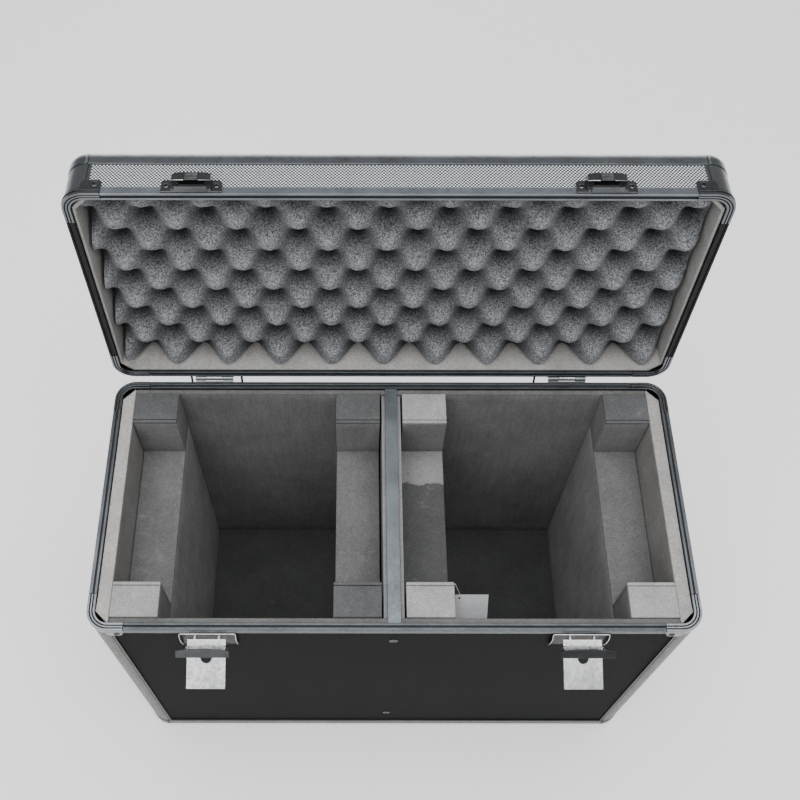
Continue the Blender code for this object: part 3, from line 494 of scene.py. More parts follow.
def rounded_rectangle(half_u, low, high, radius, steps=5):
    """An outline symmetric about u = 0 between two heights, with round corners."""
    left, right = -half_u + radius, half_u - radius
    outline = arc((right, high - radius), radius, 90, 0, steps)
    outline += arc((right, low + radius), radius, 0, -90, steps)
    outline += arc((left, low + radius), radius, 270, 180, steps)
    return outline + arc((left, high - radius), radius, 180, 90, steps)


def circle(radius, sides):
    return arc((0, 0), radius, 0, 360 - 360 / sides, sides - 1)


def bridge(bm, loops):
    """Faces between each closed loop of vertices and the next."""
    for here, after in zip(loops, loops[1:]):
        for k in range(len(here)):
            following = (k + 1) % len(here)
            bm.faces.new((here[k], after[k], after[following], here[following]))


def sweep(section, path):
    """Carries (inset, height) points along a path of (point, outward direction) pairs."""
    bm = bmesh.new()
    loops = []
    for point, outward in path:
        loops.append([bm.verts.new((*(point - outward * inset), z)) for inset, z in section])
    bridge(bm, loops)
    bm.faces.new(loops[0])
    bm.faces.new(loops[-1])
    return bm


def corner_path(sign_x, sign_y, leg, steps=14):
    """The case's outline round one corner: a straight leg, the arc and another straight leg."""
    centre = Vector((HALF_X - CORNER, HALF_Y - CORNER))
    path = [(Vector((HALF_X - leg, HALF_Y)), Vector((0, 1)))]
    for unit in arc((0, 0), 1, 90, 0, steps):
        path.append((centre + Vector(unit) * CORNER, Vector(unit)))
    path.append((Vector((HALF_X, HALF_Y - leg)), Vector((1, 0))))
    flip = Vector((sign_x, sign_y))
    return [(point * flip, outward * flip) for point, outward in path]


def run_path(side, leg):
    """The straight stretch of one side, between the corner pieces."""
    sign = -1 if side in ("front", "left") else 1
    if side in ("front", "back"):
        reach = HALF_X - leg - SEAM
        return [(Vector((x, sign * HALF_Y)), Vector((0, sign))) for x in (-reach, reach)]
    reach = HALF_Y - leg - SEAM
    return [(Vector((sign * HALF_X, y)), Vector((sign, 0))) for y in (-reach, reach)]


def lathe(profile, place, sides=32, ring=False):
    """Turns (radius, height) points round the local Z axis, then places the result."""
    bm = bmesh.new()
    loops = []
    for radius, height in profile:
        if radius < 1e-6:
            loops.append([bm.verts.new((0, 0, height))])
            continue
        loops.append([bm.verts.new((*point, height)) for point in circle(radius, sides)])
    for here, after in zip(loops, loops[1:] + loops[:1] if ring else loops[1:]):
        if len(here) == len(after) == 1:
            continue
        for k in range(sides):
            corners = [here[k % len(here)], here[(k + 1) % len(here)]]
            corners += [after[(k + 1) % len(after)], after[k % len(after)]]
            bm.faces.new(list(dict.fromkeys(corners)))
    for loop in () if ring else (loops[0], loops[-1]):
        if len(loop) > 1:
            bm.faces.new(loop)
    bmesh.ops.transform(bm, matrix=place, verts=bm.verts)
    return bm


def screw_head(radius, place, height=0.0011, sides=40, rings=12):
    """A low domed head with a cross recess, pointing along local Z."""
    bm = bmesh.new()
    slot, reach, depth = radius * 0.17, radius * 0.62, height * 0.8
    loops = []
    for ring in range(1, rings + 1):
        r = radius * ring / rings
        loop = []
        for x, y in circle(r, sides):
            z = height * math.sqrt(max(0, 1 - 0.75 * (r / radius) ** 2))
            if r < reach and min(abs(x), abs(y)) < slot:
                z -= depth
            loop.append(bm.verts.new((x, y, z)))
        loops.append(loop)
    middle = bm.verts.new((0, 0, height - depth))
    foot = [bm.verts.new((*point, -0.0004)) for point in circle(radius, sides)]
    loops.append(foot)
    for k in range(sides):
        bm.faces.new((middle, loops[0][k], loops[0][(k + 1) % sides]))
    bridge(bm, loops)
    bm.faces.new(foot)
    bmesh.ops.transform(bm, matrix=place, verts=bm.verts)
    return bm


def facing(direction, point):
    """A placement whose local Z points in a direction."""
    turn = Vector((0, 0, 1)).rotation_difference(Vector(direction)).to_matrix().to_4x4()
    return Matrix.Translation(point) @ turn


def tube(path, radius, sides=12):
    """A round wire along a list of points."""
    bm = bmesh.new()
    loops = []
    last = len(path) - 1
    across = None
    for index, point in enumerate(path):
        forward = (path[min(index + 1, last)] - path[max(index - 1, 0)]).normalized()
        if across is None:
            across = forward.orthogonal().normalized()
        across = (across - forward * across.dot(forward)).normalized()
        other = forward.cross(across)
        turned = [across * x + other * y for x, y in circle(radius, sides)]
        loops.append([bm.verts.new(point + direction) for direction in turned])
    bridge(bm, loops)
    bm.faces.new(loops[0])
    bm.faces.new(loops[-1])
    return bm


def filleted(points, radius, steps=6):
    """The path through the points with each inner bend rounded."""
    path = [Vector(points[0])]
    for before, bend, after in zip(points, points[1:], points[2:]):
        bend = Vector(bend)
        start = bend + (Vector(before) - bend).normalized() * radius
        end = bend + (Vector(after) - bend).normalized() * radius
        for step in range(steps + 1):
            t = step / steps
            path.append(start * (1 - t) ** 2 + bend * 2 * t * (1 - t) + end * t**2)
    return path + [Vector(points[-1])]


def gridded(bm, step):
    """Cuts a shape by evenly spaced planes so that its faces can be moved softly."""
    for axis in range(3):
        values = [v.co[axis] for v in bm.verts]
        low, high = min(values), max(values)
        count = int((high - low) / step)
        for k in range(1, count):
            point, normal = [0, 0, 0], [0, 0, 0]
            point[axis], normal[axis] = low + (high - low) * k / count, 1
            everything = list(bm.verts) + list(bm.edges) + list(bm.faces)
            bmesh.ops.bisect_plane(bm, geom=everything, plane_co=point, plane_no=normal)
    return bm


def softened(bm, radius=0.0012, amount=0.0003, seed=0.0):
    """Rounds a foam piece's cut edges and makes its faces slightly uneven."""
    edges = [e for e in bm.edges if len(e.link_faces) == 2 and e.calc_face_angle(0) > math.radians(30)]
    bmesh.ops.bevel(bm, geom=edges, offset=radius, segments=3, profile=0.5, affect="EDGES")
    bm.normal_update()
    for v in bm.verts:
        at = v.co + Vector((seed, 0, seed))
        wave = 0.7 * noise.noise(at * 28) + 0.3 * noise.noise(at * 95)
        v.co -= v.normal * amount * (0.5 + 0.5 * wave)
    return bm


def soft_piece(
    name, bm, body, finish, slot, nodes=(), radius=0.0012, amount=0.0003, step=0.012, seed=0.0
):
    """A piece of foam, rounded and slightly uneven."""
    bmesh.ops.recalc_face_normals(bm, faces=bm.faces)
    softened(gridded(bm, step), radius, amount, seed)
    obj = piece(name, bm, body, finish, nodes, angle=50)
    return obj


def chamfered(half_x, half_y, chamfer):
    outline = []
    for sign_x, sign_y in ((1, 1), (-1, 1), (-1, -1), (1, -1)):
        cut = [(half_x - chamfer, half_y), (half_x, half_y - chamfer)]
        if sign_x * sign_y > 0:
            cut.reverse()
        outline += [(sign_x * x, sign_y * y) for x, y in cut]
    return outline


def keep_node(name, finish, bevel=0.0):
    """Gives a CAD node its material and rounds its edges; its shape stays."""
    obj = frame["nodes"][name]
    obj.data.materials.clear()
    obj.data.materials.append(MATERIALS[finish])
    if bevel:
        weld = obj.modifiers.new("weld", "WELD")
        weld.merge_threshold = 0.00002
        round_edges(obj, bevel)


# ---------------------------------------------------------------- rims, posts and edges


def grooved(face, into, lips, depth, width, web, flange, wall=WALL):
    """A rim's section: lips on the mating face with grooves between, a web and an outer flange."""
    points = []
    for low, high in lips:
        if points:
            points += [(points[-1][0], face + into * depth), (low, face + into * depth)]
        points += [(low, face), (high, face)]
    points[-1] = (width, face)
    return points + [(width, web), (wall, web), (wall, flange), (points[0][0], flange)]


def rim_sections(face, into, groove):
    start, end, depth = groove
    web, flange = face + into * RIM_WEB, into * RIM_FLANGE
    run = grooved(face, into, ((0, start), (end, RIM_WIDTH)), depth, RIM_WIDTH, web, flange)
    proud = [(low - CASTING_PROUD if low == 0 else low, high) for low, high in CASTING_LIPS]
    cast = grooved(face, into, proud, CASTING_GROOVE, RIM_WIDTH, web, flange + into * CASTING_PROUD)
    return run, cast


def make_rim(prefix, body, face, into, groove, node, finishes):
    run, cast = rim_sections(face, into, groove)
    for side in RUNS:
        bm = sweep(run, run_path(side, CASTING_LEG))
        piece(f"{prefix}_rim_{side}", bm, body, finishes[side], [node], bevel=0.00035)
    for corner, sign_x, sign_y in CORNERS:
        bm = sweep(cast, corner_path(sign_x, sign_y, CASTING_LEG))
        name = f"{prefix}_rim_corner_{corner}"
        piece(name, bm, body, finishes["corner"], [node], bevel=0.00035)


def groove_shade_section(low, high, face, into, depth):
    """A flat black strip that fills the bottom of a groove, painted shade for the groove."""
    top, under = face + into * depth * 0.7, face + into * (depth + 0.0004)
    return [(low - 0.0001, top), (high + 0.0001, top), (high + 0.0001, under), (low - 0.0001, under)]


def make_groove_shade_strips(prefix, body, face, into, groove):
    """Black strips in the rim's groove and in the corner castings' two grooves: painted shade that makes the
    grooves read dark.
    """
    start, end, depth = groove
    runs = [sweep(groove_shade_section(start, end, face, into, depth), run_path(side, CASTING_LEG)) for side in RUNS]
    piece(f"{prefix}_rim_groove_shade", join(*runs), body, "rubber")
    corners = []
    for (_, low), (high, _) in zip(CASTING_LIPS, CASTING_LIPS[1:]):
        section = groove_shade_section(low, high, face, into, CASTING_GROOVE)
        corners += [sweep(section, corner_path(x, y, CASTING_LEG)) for x in (-1, 1) for y in (-1, 1)]
    piece(f"{prefix}_corner_groove_shade", join(*corners), body, "rubber")


def make_posts(prefix, body, low, high, finish):
    """Upright corner extrusions with a bead along each edge, over the ends of the boards."""
    centre = Vector((HALF_X - CORNER, HALF_Y - CORNER))
    outer, edge, bead = CORNER - 0.0004, -0.004, 0.0007
    lip, inner, end = CORNER - PANEL_INSET + GAP, CORNER - BOARD_INSET, 0.0015
    face = [(outer, edge), (outer, edge + 2 * bead), (outer - bead, edge + 2.6 * bead)]
    face += [(outer - bead, edge + 3.6 * bead), (outer, edge + 4.2 * bead)]
    outline = face + arc((0, 0), outer, 4, 86, 14) + [(v, u) for u, v in reversed(face)]
    outline += [(edge, lip), (end, lip), (end, inner), (inner, inner), (inner, end), (lip, end), (lip, edge)]
    for corner, sign_x, sign_y in CORNERS:
        placed = [(sign_x * (centre.x + u), sign_y * (centre.y + v)) for u, v in outline]
        node = f"{prefix}_{corner}_corner"
        bm = prism(placed, low, high, along_z)
        piece(f"{prefix}_post_{corner}", bm, body, finish, [node])


def make_edge_frame(prefix, section, body, node, finish, cap_finish):
    """An edge extrusion in four runs, with a corner cap over each corner."""
    proud = [(inset - CASTING_PROUD if inset < WALL else inset, z) for inset, z in section]
    for side in RUNS:
        bm = sweep(section, run_path(side, EDGE_CAP_LEG))
        piece(f"{prefix}_{side}", bm, body, finish, [node], bevel=0.0003)
    for corner, sign_x, sign_y in CORNERS:
        bm = sweep(proud, corner_path(sign_x, sign_y, EDGE_CAP_LEG))
        piece(f"{prefix}_cap_{corner}", bm, body, cap_finish, [node], bevel=0.0003)


def roof_section():
    centre = (ROOF_RADIUS, LID_HEIGHT - ROOF_RADIUS)
    section = [(WALL, ROOF_FLANGE_LOW), (0, ROOF_FLANGE_LOW)] + arc(centre, ROOF_RADIUS, 180, 90, 12)
    section += [(ROOF_LEDGE, LID_HEIGHT), (ROOF_LEDGE, ROOF_UNDER), (RIM_WIDTH, ROOF_UNDER)]
    return section + [(RIM_WIDTH, ROOF_WEB), (WALL, ROOF_WEB)]


def base_section():
    low = -BODY_HEIGHT
    section = [(0, low + BASE_FLANGE)] + arc((0.004, low + 0.004), 0.004, 180, 270, 6)
    section += [(BASE_LEDGE, low), (BASE_LEDGE, low + WALL)]
    return section + [(WALL, low + WALL), (WALL, low + BASE_FLANGE)]


BODY_RIM = {
    "front": "rim_front",
    "back": "rim_back",
    "left": "rim_side",
    "right": "rim_side",
    "corner": "casting",
}
LID_RIM = {
    "front": "lid_rim_front",
    "back": "rim_back",
    "left": "lid_rim_side_shade",
    "right": "lid_rim_side_shade",
    "corner": "lid_casting",
}


def make_shell():
    make_rim("body", "case", 0.0, -1, BODY_GROOVE, "body_rim_frame", BODY_RIM)
    make_rim("lid", "lid", LID_RIM_GAP, 1, LID_GROOVE, "lid_rim_frame", LID_RIM)
    make_groove_shade_strips("body", "case", 0.0, -1, BODY_GROOVE)
    make_groove_shade_strips("lid", "lid", LID_RIM_GAP, 1, LID_GROOVE)
    make_posts("body", "case", -BODY_HEIGHT + BASE_FLANGE + GAP, -RIM_FLANGE - GAP, "post")
    make_posts("lid", "lid", RIM_FLANGE + GAP, ROOF_FLANGE_LOW - GAP, "lid_post")
    make_edge_frame("roof_edge", roof_section(), "lid", "lid_roof_frame", "roof_edge", "roof_cap")
    make_edge_frame("base_edge", base_section(), "case", "body_base_frame", "base_edge", "post")
    for body in ("body", "lid"):
        for side in ("front", "back"):
            keep_node(f"{body}_{side}_panel", f"{body}_front", 0.0003)
        for side in ("left", "right"):
            keep_node(f"{body}_{side}_panel", f"{body}_side", 0.0003)
    keep_node("body_bottom_panel", "body_under", 0.0003)
    keep_node("lid_roof_panel", "lid_roof", 0.0003)


# ---------------------------------------------------------------- corner brackets and screws

# Each tab's outline as millimetres from the case's corner and above its rim; its screw; how proud it is.
BRACKETS = {
    "body": {
        "tab": ((19, -8.5), (20.2, -13.8), (23, -16.8), (32.5, -16.8), (35.5, -13.8), (35.5, -8.5)),
        "screw": (30.5, -12.2),
        "proud": 0.0003,
    },
    "lid": {
        "tab": (
            *((17.5, 4.2), (19, 7), (19.6, 12), (21, 16.2)),
            *((23, 17.2), (36.5, 17.2), (38.4, 15), (38.4, 4.2)),
        ),
        "screw": (32.5, 11.6),
        "proud": 0.0009,
    },
}
LID_BRACKET_STRIP = (0.0042, 0.0062)
BRACKET_SCREW = 0.0034
DIVIDER_SCREW = 0.0044


def make_brackets(prefix, body):
    sizes = BRACKETS[prefix]
    outline = [(u / 1000, v / 1000) for u, v in sizes["tab"]]
    screw_from_corner, screw_z = (v / 1000 for v in sizes["screw"])
    low, high = 0.0006 - PANEL_INSET, sizes["proud"]
    screws = []
    finish = "lid_bracket" if prefix == "lid" else "bracket"
    for corner, sign_x, sign_y in CORNERS:
        front = [(sign_x * (HALF_X - u), v) for u, v in outline]
        depth = sorted((sign_y * (HALF_Y + low), sign_y * (HALF_Y + high)))
        across = [(sign_y * (HALF_Y - u), v) for u, v in outline]
        width = sorted((sign_x * (HALF_X + low), sign_x * (HALF_X + high)))
        parts = [prism(front, *depth, along_y), prism(across, *width, along_x)]
        if prefix == "lid":
            bottom, top = LID_BRACKET_STRIP
            strip = [(-high, bottom), (-high, top - 0.0006), (0.0004 - high, top)]
            strip += [(0.001, top), (0.001, bottom)]
            parts.append(sweep(strip, corner_path(sign_x, sign_y, CORNER + 0.001)))
        piece(f"{prefix}_bracket_{corner}", join(*parts), body, finish, bevel=0.0003)
        x, y = HALF_X - screw_from_corner, HALF_Y - screw_from_corner
        at = Vector((sign_x * x, sign_y * (HALF_Y + high), screw_z))
        screws.append(screw_head(BRACKET_SCREW, facing((0, sign_y, 0), at)))
        at = Vector((sign_x * (HALF_X + high), sign_y * y, screw_z))
        screws.append(screw_head(BRACKET_SCREW, facing((sign_x, 0, 0), at)))
    piece(f"{prefix}_bracket_screws", join(*screws), body, "dark_screw")


def make_panel_screws():
    """The screws through the front and back boards that hold the divider."""
    screws = []
    for sign in (-1, 1):
        for z in (-0.040, -0.355):
            at = Vector((0, sign * (HALF_Y - PANEL_INSET), z))
            screws.append(screw_head(DIVIDER_SCREW, facing((0, sign, 0), at)))
    piece("divider_screws", join(*screws), "case", "dark_screw")


# ---------------------------------------------------------------- linings, pads and egg-crate foam


def make_linings():
    inner_x, inner_y = HALF_X - BOARD_INSET - GAP, HALF_Y - BOARD_INSET - GAP
    thick = 0.0137
    for side, sign in SIDES:
        inside = inner_x - thick
        outline = [(inside, -inner_y), (inner_x - LINING_CHAMFER, -inner_y)]
        outline += [(inner_x, LINING_CHAMFER - inner_y), (inner_x, inner_y - LINING_CHAMFER)]
        outline += [(inner_x - LINING_CHAMFER, inner_y), (inside, inner_y)]
        bm = prism([(sign * x, y) for x, y in outline], FLOOR + GAP, LINING_TOP, along_z)
        finish = "lining_left" if side == "left" else "lining"
        name, node = f"{side}_lining_sheet", f"{side}_side_lining"
        soft_piece(name, bm, "case", finish, "lining", [node], seed=sign)
    half = inner_x - thick - GAP
    for end, sign in ENDS:
        faces = sorted((sign * CLEAR_Y, sign * inner_y))
        bm = block((-half, faces[0], FLOOR + GAP), (half, faces[1], LINING_TOP))
        name, node = f"{end}_lining_sheet", f"{end}_lining"
        softness = (0.001, 0.0004, 0.016, sign * 3)
        soft_piece(name, bm, "case", "lining_shaded", "lining", [node], *softness)
    bm = block((-inner_x, -inner_y, FLOOR - 0.006), (inner_x, inner_y, FLOOR))
    soft_piece("floor_sheet", bm, "case", "floor", "floor", ["floor_lining"], 0.001, 0.0004, 0.02)


def make_divider():
    half_y = CLEAR_Y - GAP
    top = CAP_TOP - CAP_LEG - GAP
    for side, sign in SIDES:
        faces = sorted((sign * (DIVIDER_CORE_HALF + 0.0001), sign * DIVIDER_HALF))
        bm = block((faces[0], -half_y, FLOOR + GAP), (faces[1], half_y, top))
        name = f"divider_facing_{side}"
        soft_piece(name, bm, "case", "facing", "pad", ["divider_board"], 0.001, 0.0003, 0.014, sign * 5)
    core = block((-DIVIDER_CORE_HALF, -half_y, FLOOR + GAP), (DIVIDER_CORE_HALF, half_y, CAP_TOP - 0.0018))
    piece("divider_core", core, "case", "core", ["divider_board"], bevel=0.0005)
    keep_node("divider_cap", "cap", 0.0005)


# Blocks whose tops are painted pale: partly their own tone, partly painted light.
LIGHT_BLOCKS = {
    ("left_wall", "front"),
    ("right_divider", "front"),
    ("right_wall", "front"),
    ("right_divider", "back"),
}


def make_pads():
    """Each support: a pad from the floor to its shelf, and a faced block glued on at either end."""
    half_y = CLEAR_Y - GAP
    for side in ("left", "right"):
        for place in ("divider", "wall"):
            node = f"{side}_{place}_pad"
            low_x, high_x = (corner.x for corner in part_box(node))
            seed = low_x * 40
            bm = block((low_x, -half_y, FLOOR + GAP), (high_x, half_y, PAD_SHELF))
            finish = "pad_patched" if node == "right_divider_pad" else "pad"
            soft_piece(node + "_foot", bm, "case", finish, "pad", [node], 0.0014, 0.0005, 0.016, seed)
            for end, sign in ENDS:
                inner = half_y - PAD_BLOCK
                split = inner + FACING
                bodies = []
                for near, far in ((inner, split - 0.00015), (split + 0.00015, half_y)):
                    faces = sorted((sign * near, sign * far))
                    bodies.append(block((low_x, faces[0], PAD_SHELF + 0.0001), (high_x, faces[1], PAD_TOP)))
                light = (f"{side}_{place}", end) in LIGHT_BLOCKS
                finish = "pad_light" if light else "pad_dark"
                name = f"{side}_{place}_block_{end}"
                softness = (0.0011, 0.0004, 0.012, seed + sign)
                soft_piece(name, join(*bodies), "case", finish, "pad", [node], *softness)


CRATE_PERIOD = 0.0575
CRATE_ROW = 0.0296
CRATE_ROWS = 9
CRATE_PHASE = (-0.008, -0.122)
CRATE_TIP = 0.0073
CRATE_DEPTH = 0.029
CRATE_CELL = 0.0024
CRATE_END = 0.126
CRATE_REACH = 0.0017


def crate_height(x, y):
    """How far the foam's face stands below the lid's rim: bumps on staggered rows."""
    across = math.cos(2 * math.pi * (x - CRATE_PHASE[0]) / CRATE_PERIOD)
    y = min(y, CRATE_PHASE[1] + (CRATE_ROWS - 1) * CRATE_ROW)
    down = math.cos(math.pi * (y - CRATE_PHASE[1]) / CRATE_ROW)
    rise = (0.5 + 0.5 * across * down) ** 0.85
    rough = 0.0005 * noise.noise(Vector((x, y, 0)) * 400) + 0.0006 * noise.noise(Vector((x, y, 3)) * 120)
    return CRATE_TIP + CRATE_DEPTH * (1 - rise) + rough


def make_crate():
    low, high = local_box("egg_crate_foam", LID)
    half_x = high.x + CRATE_REACH
    start, end, back = low.y + 0.0002, CRATE_END, high.z
    columns = round(2 * half_x / CRATE_CELL)
    rows = round((end - start) / CRATE_CELL)
    bm = bmesh.new()
    grid = []
    for j in range(rows + 1):
        line = []
        for i in range(columns + 1):
            x, y = -half_x + 2 * half_x * i / columns, start + (end - start) * j / rows
            line.append(bm.verts.new((x, y, crate_height(x, y))))
        grid.append(line)
    for j in range(rows):
        for i in range(columns):
            bm.faces.new((grid[j][i], grid[j][i + 1], grid[j + 1][i + 1], grid[j + 1][i]))
    edge = grid[0] + [line[-1] for line in grid[1:]] + grid[-1][-2::-1] + [line[0] for line in grid[-2:0:-1]]
    under = [bm.verts.new((v.co.x, v.co.y, back)) for v in edge]
    for k in range(len(edge)):
        after = (k + 1) % len(edge)
        bm.faces.new((edge[k], edge[after], under[after], under[k]))
    bm.faces.new(under)
    crate = piece("egg_crate_sheet", bm, "lid", "crate", ["egg_crate_foam"], angle=80)


def make_lid_tray():
    """The light foam tray that lines the lid: four low walls with cut corners, and its roof."""
    inner_x, inner_y = HALF_X - BOARD_INSET - GAP, HALF_Y - BOARD_INSET - GAP
    outer = chamfered(inner_x, inner_y, LINING_CHAMFER)
    wall = 0.003
    inner = chamfered(inner_x - wall, inner_y - wall, LINING_CHAMFER)
    rim, top = (corner.z for corner in local_box("lid_lining", LID))
    roof = top - 0.0025
    bm = bmesh.new()
    levels = [(outer, top), (outer, rim), (inner, rim), (inner, roof)]
    loops = [[bm.verts.new((x, y, z)) for x, y in outline] for outline, z in levels]
    for here, after in zip(loops, loops[1:]):
        for k in range(8):
            bm.faces.new((here[k], here[(k + 1) % 8], after[(k + 1) % 8], after[k]))
    bm.faces.new(loops[0])
    bm.faces.new(loops[-1])
    softness = (0.0008, 0.0003, 0.02)
    soft_piece("lid_lining_tray", bm, "lid", "lid_lining", "lining", ["lid_lining"], *softness)


# ---------------------------------------------------------------- latches, hinges, handles, feet, tag


def plate_with_hole(half, low, high, thick, hole, radius, steps=32):
    """A rectangular plate across Y with a round hole: rays from the hole's centre mesh it."""
    hole_x, hole_z = hole
    corners = [(x, z) for x in (-half, half) for z in (low, high)]
    angles = {round(2 * math.pi * k / steps, 6) for k in range(steps)}
    angles |= {round(math.atan2(z - hole_z, x - hole_x) % (2 * math.pi), 6) for x, z in corners}
    rings = []
    for angle in sorted(angles):
        u, v = math.cos(angle), math.sin(angle)
        reach_x = ((half if u > 0 else -half) - hole_x) / u if abs(u) > 1e-6 else math.inf
        reach_z = ((high if v > 0 else low) - hole_z) / v if abs(v) > 1e-6 else math.inf
        reach = min(reach_x, reach_z)
        shares = [radius + (reach - radius) * share for share in (0, 0.3, 0.65, 1)]
        rings.append([(hole_x + u * r, hole_z + v * r) for r in shares])
    bm = bmesh.new()
    sides = [[[bm.verts.new((x, y, z)) for x, z in ring] for ring in rings] for y in (0, thick)]
    count, last = len(rings), 3
    for k in range(count):
        after = (k + 1) % count
        for side in sides:
            for j in range(last):
                bm.faces.new((side[k][j], side[k][j + 1], side[after][j + 1], side[after][j]))
        for j in (0, last):
            bm.faces.new((sides[0][k][j], sides[0][after][j], sides[1][after][j], sides[1][k][j]))
    return bm


def shifted(bm, offset):
    bmesh.ops.translate(bm, verts=bm.verts, vec=offset)
    return bm


def make_spring(side):
    """The torsion spring on the latch's pin, with one leg against the base and one on the lever."""
    turns, radius, wire, half, steps = 9, 0.0025, 0.00045, 0.0072, 14
    points = [Vector((-half, radius + 0.001, -0.009)), Vector((-half, radius, -0.003))]
    for k in range(turns * steps + 1):
        angle = 2 * math.pi * k / steps
        x = -half + 2 * half * k / (turns * steps)
        points.append(Vector((x, radius * math.cos(angle), radius * math.sin(angle))))
    points += [Vector((half, radius, -0.004)), Vector((half, radius + 0.001, -0.010))]
    place = joint_place(f"latch_{side}_lever")
    piece(f"latch_spring_{side}", tube(points, wire, 8), "case", "coil", place=place)


BASE_HALF = 0.0285
BASE_LOW = -0.046
BASE_TOP = -0.0096
BASE_FRONT = -0.1430
BASE_FLARE = [(BASE_FRONT, BASE_TOP), (-0.1458, -0.018), (-0.1456, -0.030), (-0.1436, -0.042)]
EAR_SPAN = (0.0111, 0.0129)


def make_latch_base(side, place):
    """A pressed cup: back plate, flared side walls, top flange, two posts and the pin."""
    node = [f"latch_base_{side}"]
    back, wall = -0.1409, 0.0012
    cup = block((-BASE_HALF, back - wall, BASE_LOW), (BASE_HALF, back, BASE_TOP))
    parts = [cup, block((-BASE_HALF, BASE_FRONT, BASE_TOP - wall), (BASE_HALF, back, BASE_TOP))]
    for sign in (-1, 1):
        outline = [(back, BASE_TOP), *BASE_FLARE, (back, BASE_LOW)]
        low, high = sorted((sign * (BASE_HALF - wall), sign * BASE_HALF))
        parts.append(prism(outline, low, high, along_x))
    piece(f"latch_cup_{side}", join(*parts), "case", "cup", node, 0.0003, place=place)
    posts = []
    for sign in (-1, 1):
        low, high = sorted(sign * x for x in EAR_SPAN)
        outline = [(back, BASE_TOP - wall), (-0.1512, BASE_TOP - wall), (-0.1516, -0.0165), (back, -0.0165)]
        posts.append(prism(outline, low, high, along_x))
    pin = lathe([(0.0015, -0.0186), (0.0015, 0.0186)], ACROSS, 20)
    posts.append(shifted(pin, (0, -0.149, -0.0135)))
    piece(f"latch_posts_{side}", join(*posts), "case", "post_steel", node, 0.0002, place=place)
    # A bright wire along the cup's flared edges, a painted highlight.
    path = [Vector((-BASE_HALF + 0.0003, y - 0.0001, z - 0.0003)) for y, z in reversed(BASE_FLARE)]
    path = filleted([*path, *(Vector((-v.x, v.y, v.z)) for v in reversed(path))], 0.0012, 4)
    piece(f"latch_cup_edge_highlight_{side}", tube(path, 0.00042, 8), "case", "painted_edge_highlight", node, place=place)


def make_lever(side):
    """The bright channel: a plate with a round hole, side flanges, knuckles and pivot ears."""
    half, low, high, outer = 0.0193, -0.046, 0.002, -0.0028
    plate = shifted(plate_with_hole(half, low, high, 0.001, (0, -0.016), 0.0055), (0, outer, 0))
    rolled = [(0.0056, 0.0), (0.0066, 0.0), (0.0062, 0.0007)]
    rolled += [(0.0056, 0.0009), (0.0052, 0.0005), (0.0052, 0.0)]
    rim = lathe(rolled, facing((0, -1, 0), (0, outer, -0.016)), 32, ring=True)
    parts = [plate, rim]
    for sign in (-1, 1):
        x0, x1 = sorted((sign * (half - 0.0012), sign * half))
        outline = [(outer, low + 0.001), (0.002, low + 0.002), (0.002, -0.0045), (outer + 0.0005, -0.0035)]
        parts.append(prism(outline, x0, x1, along_x))
        ear = [(outer + 0.0004, -0.0032), (-0.0060, -0.0036), (-0.0074, -0.0052), (-0.0074, -0.0068)]
        ear += [(-0.0060, -0.0084), (outer + 0.0004, -0.0088)]
        parts.append(prism(ear, x0, x1, along_x))
        x0, x1 = sorted((sign * 0.0134, sign * 0.0186))
        knuckle = [(0.0017, x0), (0.0028, x0), (0.0028, x1), (0.0017, x1)]
        parts.append(lathe(knuckle, ACROSS, 28, ring=True))
    bm = join(*parts)
    name = f"latch_lever_{side}"
    piece(f"{name}_plate", bm, f"lever_{side}", "chrome", [name], bevel=0.00025)


def make_claw(side):
    """A bail: an arm beside each lever flange, riveted to its ear, and the hooked cross plate."""
    arm_in, arm_out, half, top = 0.0197, 0.0209, 0.026, 0.0262
    parts = []
    for sign in (-1, 1):
        low, high = sorted((sign * arm_in, sign * arm_out))
        outline = arc((0, 0), 0.0024, 180, 360, 8) + [(0.0020, 0.017), (0.0012, top - 0.001)]
        outline += [(-0.0008, top - 0.001), (-0.0016, 0.017)]
        parts.append(prism(outline, low, high, along_x))
        rivet = [(0, 0.0008), (0.0012, 0.0006), (0.0016, 0), (0.0016, -0.0022), (0, -0.0022)]
        parts.append(lathe(rivet, facing((sign, 0, 0), (sign * arm_out, 0, 0)), 20))
    bar = rounded_rectangle(half, top - 0.0052, top - 0.0004, 0.0008)
    parts.append(prism(bar, -0.0008, 0.0008, along_y))
    steps, lip, crown = 16, 0.0067, 0.0012
    outline = [(-half, 0.0), (half, 0.0)]
    for k in range(steps + 1):
        x = half - 2 * half * k / steps
        outline.append((x, lip + crown * (1 - (x / half) ** 2) - 0.0008 * abs(x / half) ** 8))
    parts.append(prism(outline, top - 0.0018, top, along_z))
    name = f"latch_claw_{side}"
    piece(f"{name}_bail", join(*parts), f"claw_{side}", "claw", [name], bevel=0.00035)


def catch_housing(low, high, half, crown=0.0012, steps=10):
    """The housing's face outline: straight below, gently arched above."""
    outline = [(-half, low), (half, low)]
    for k in range(steps + 1):
        u = half - 2 * half * k / steps
        outline.append((u, high - crown * (u / half) ** 2 - 0.0012 * abs(u / half) ** 12))
    return outline


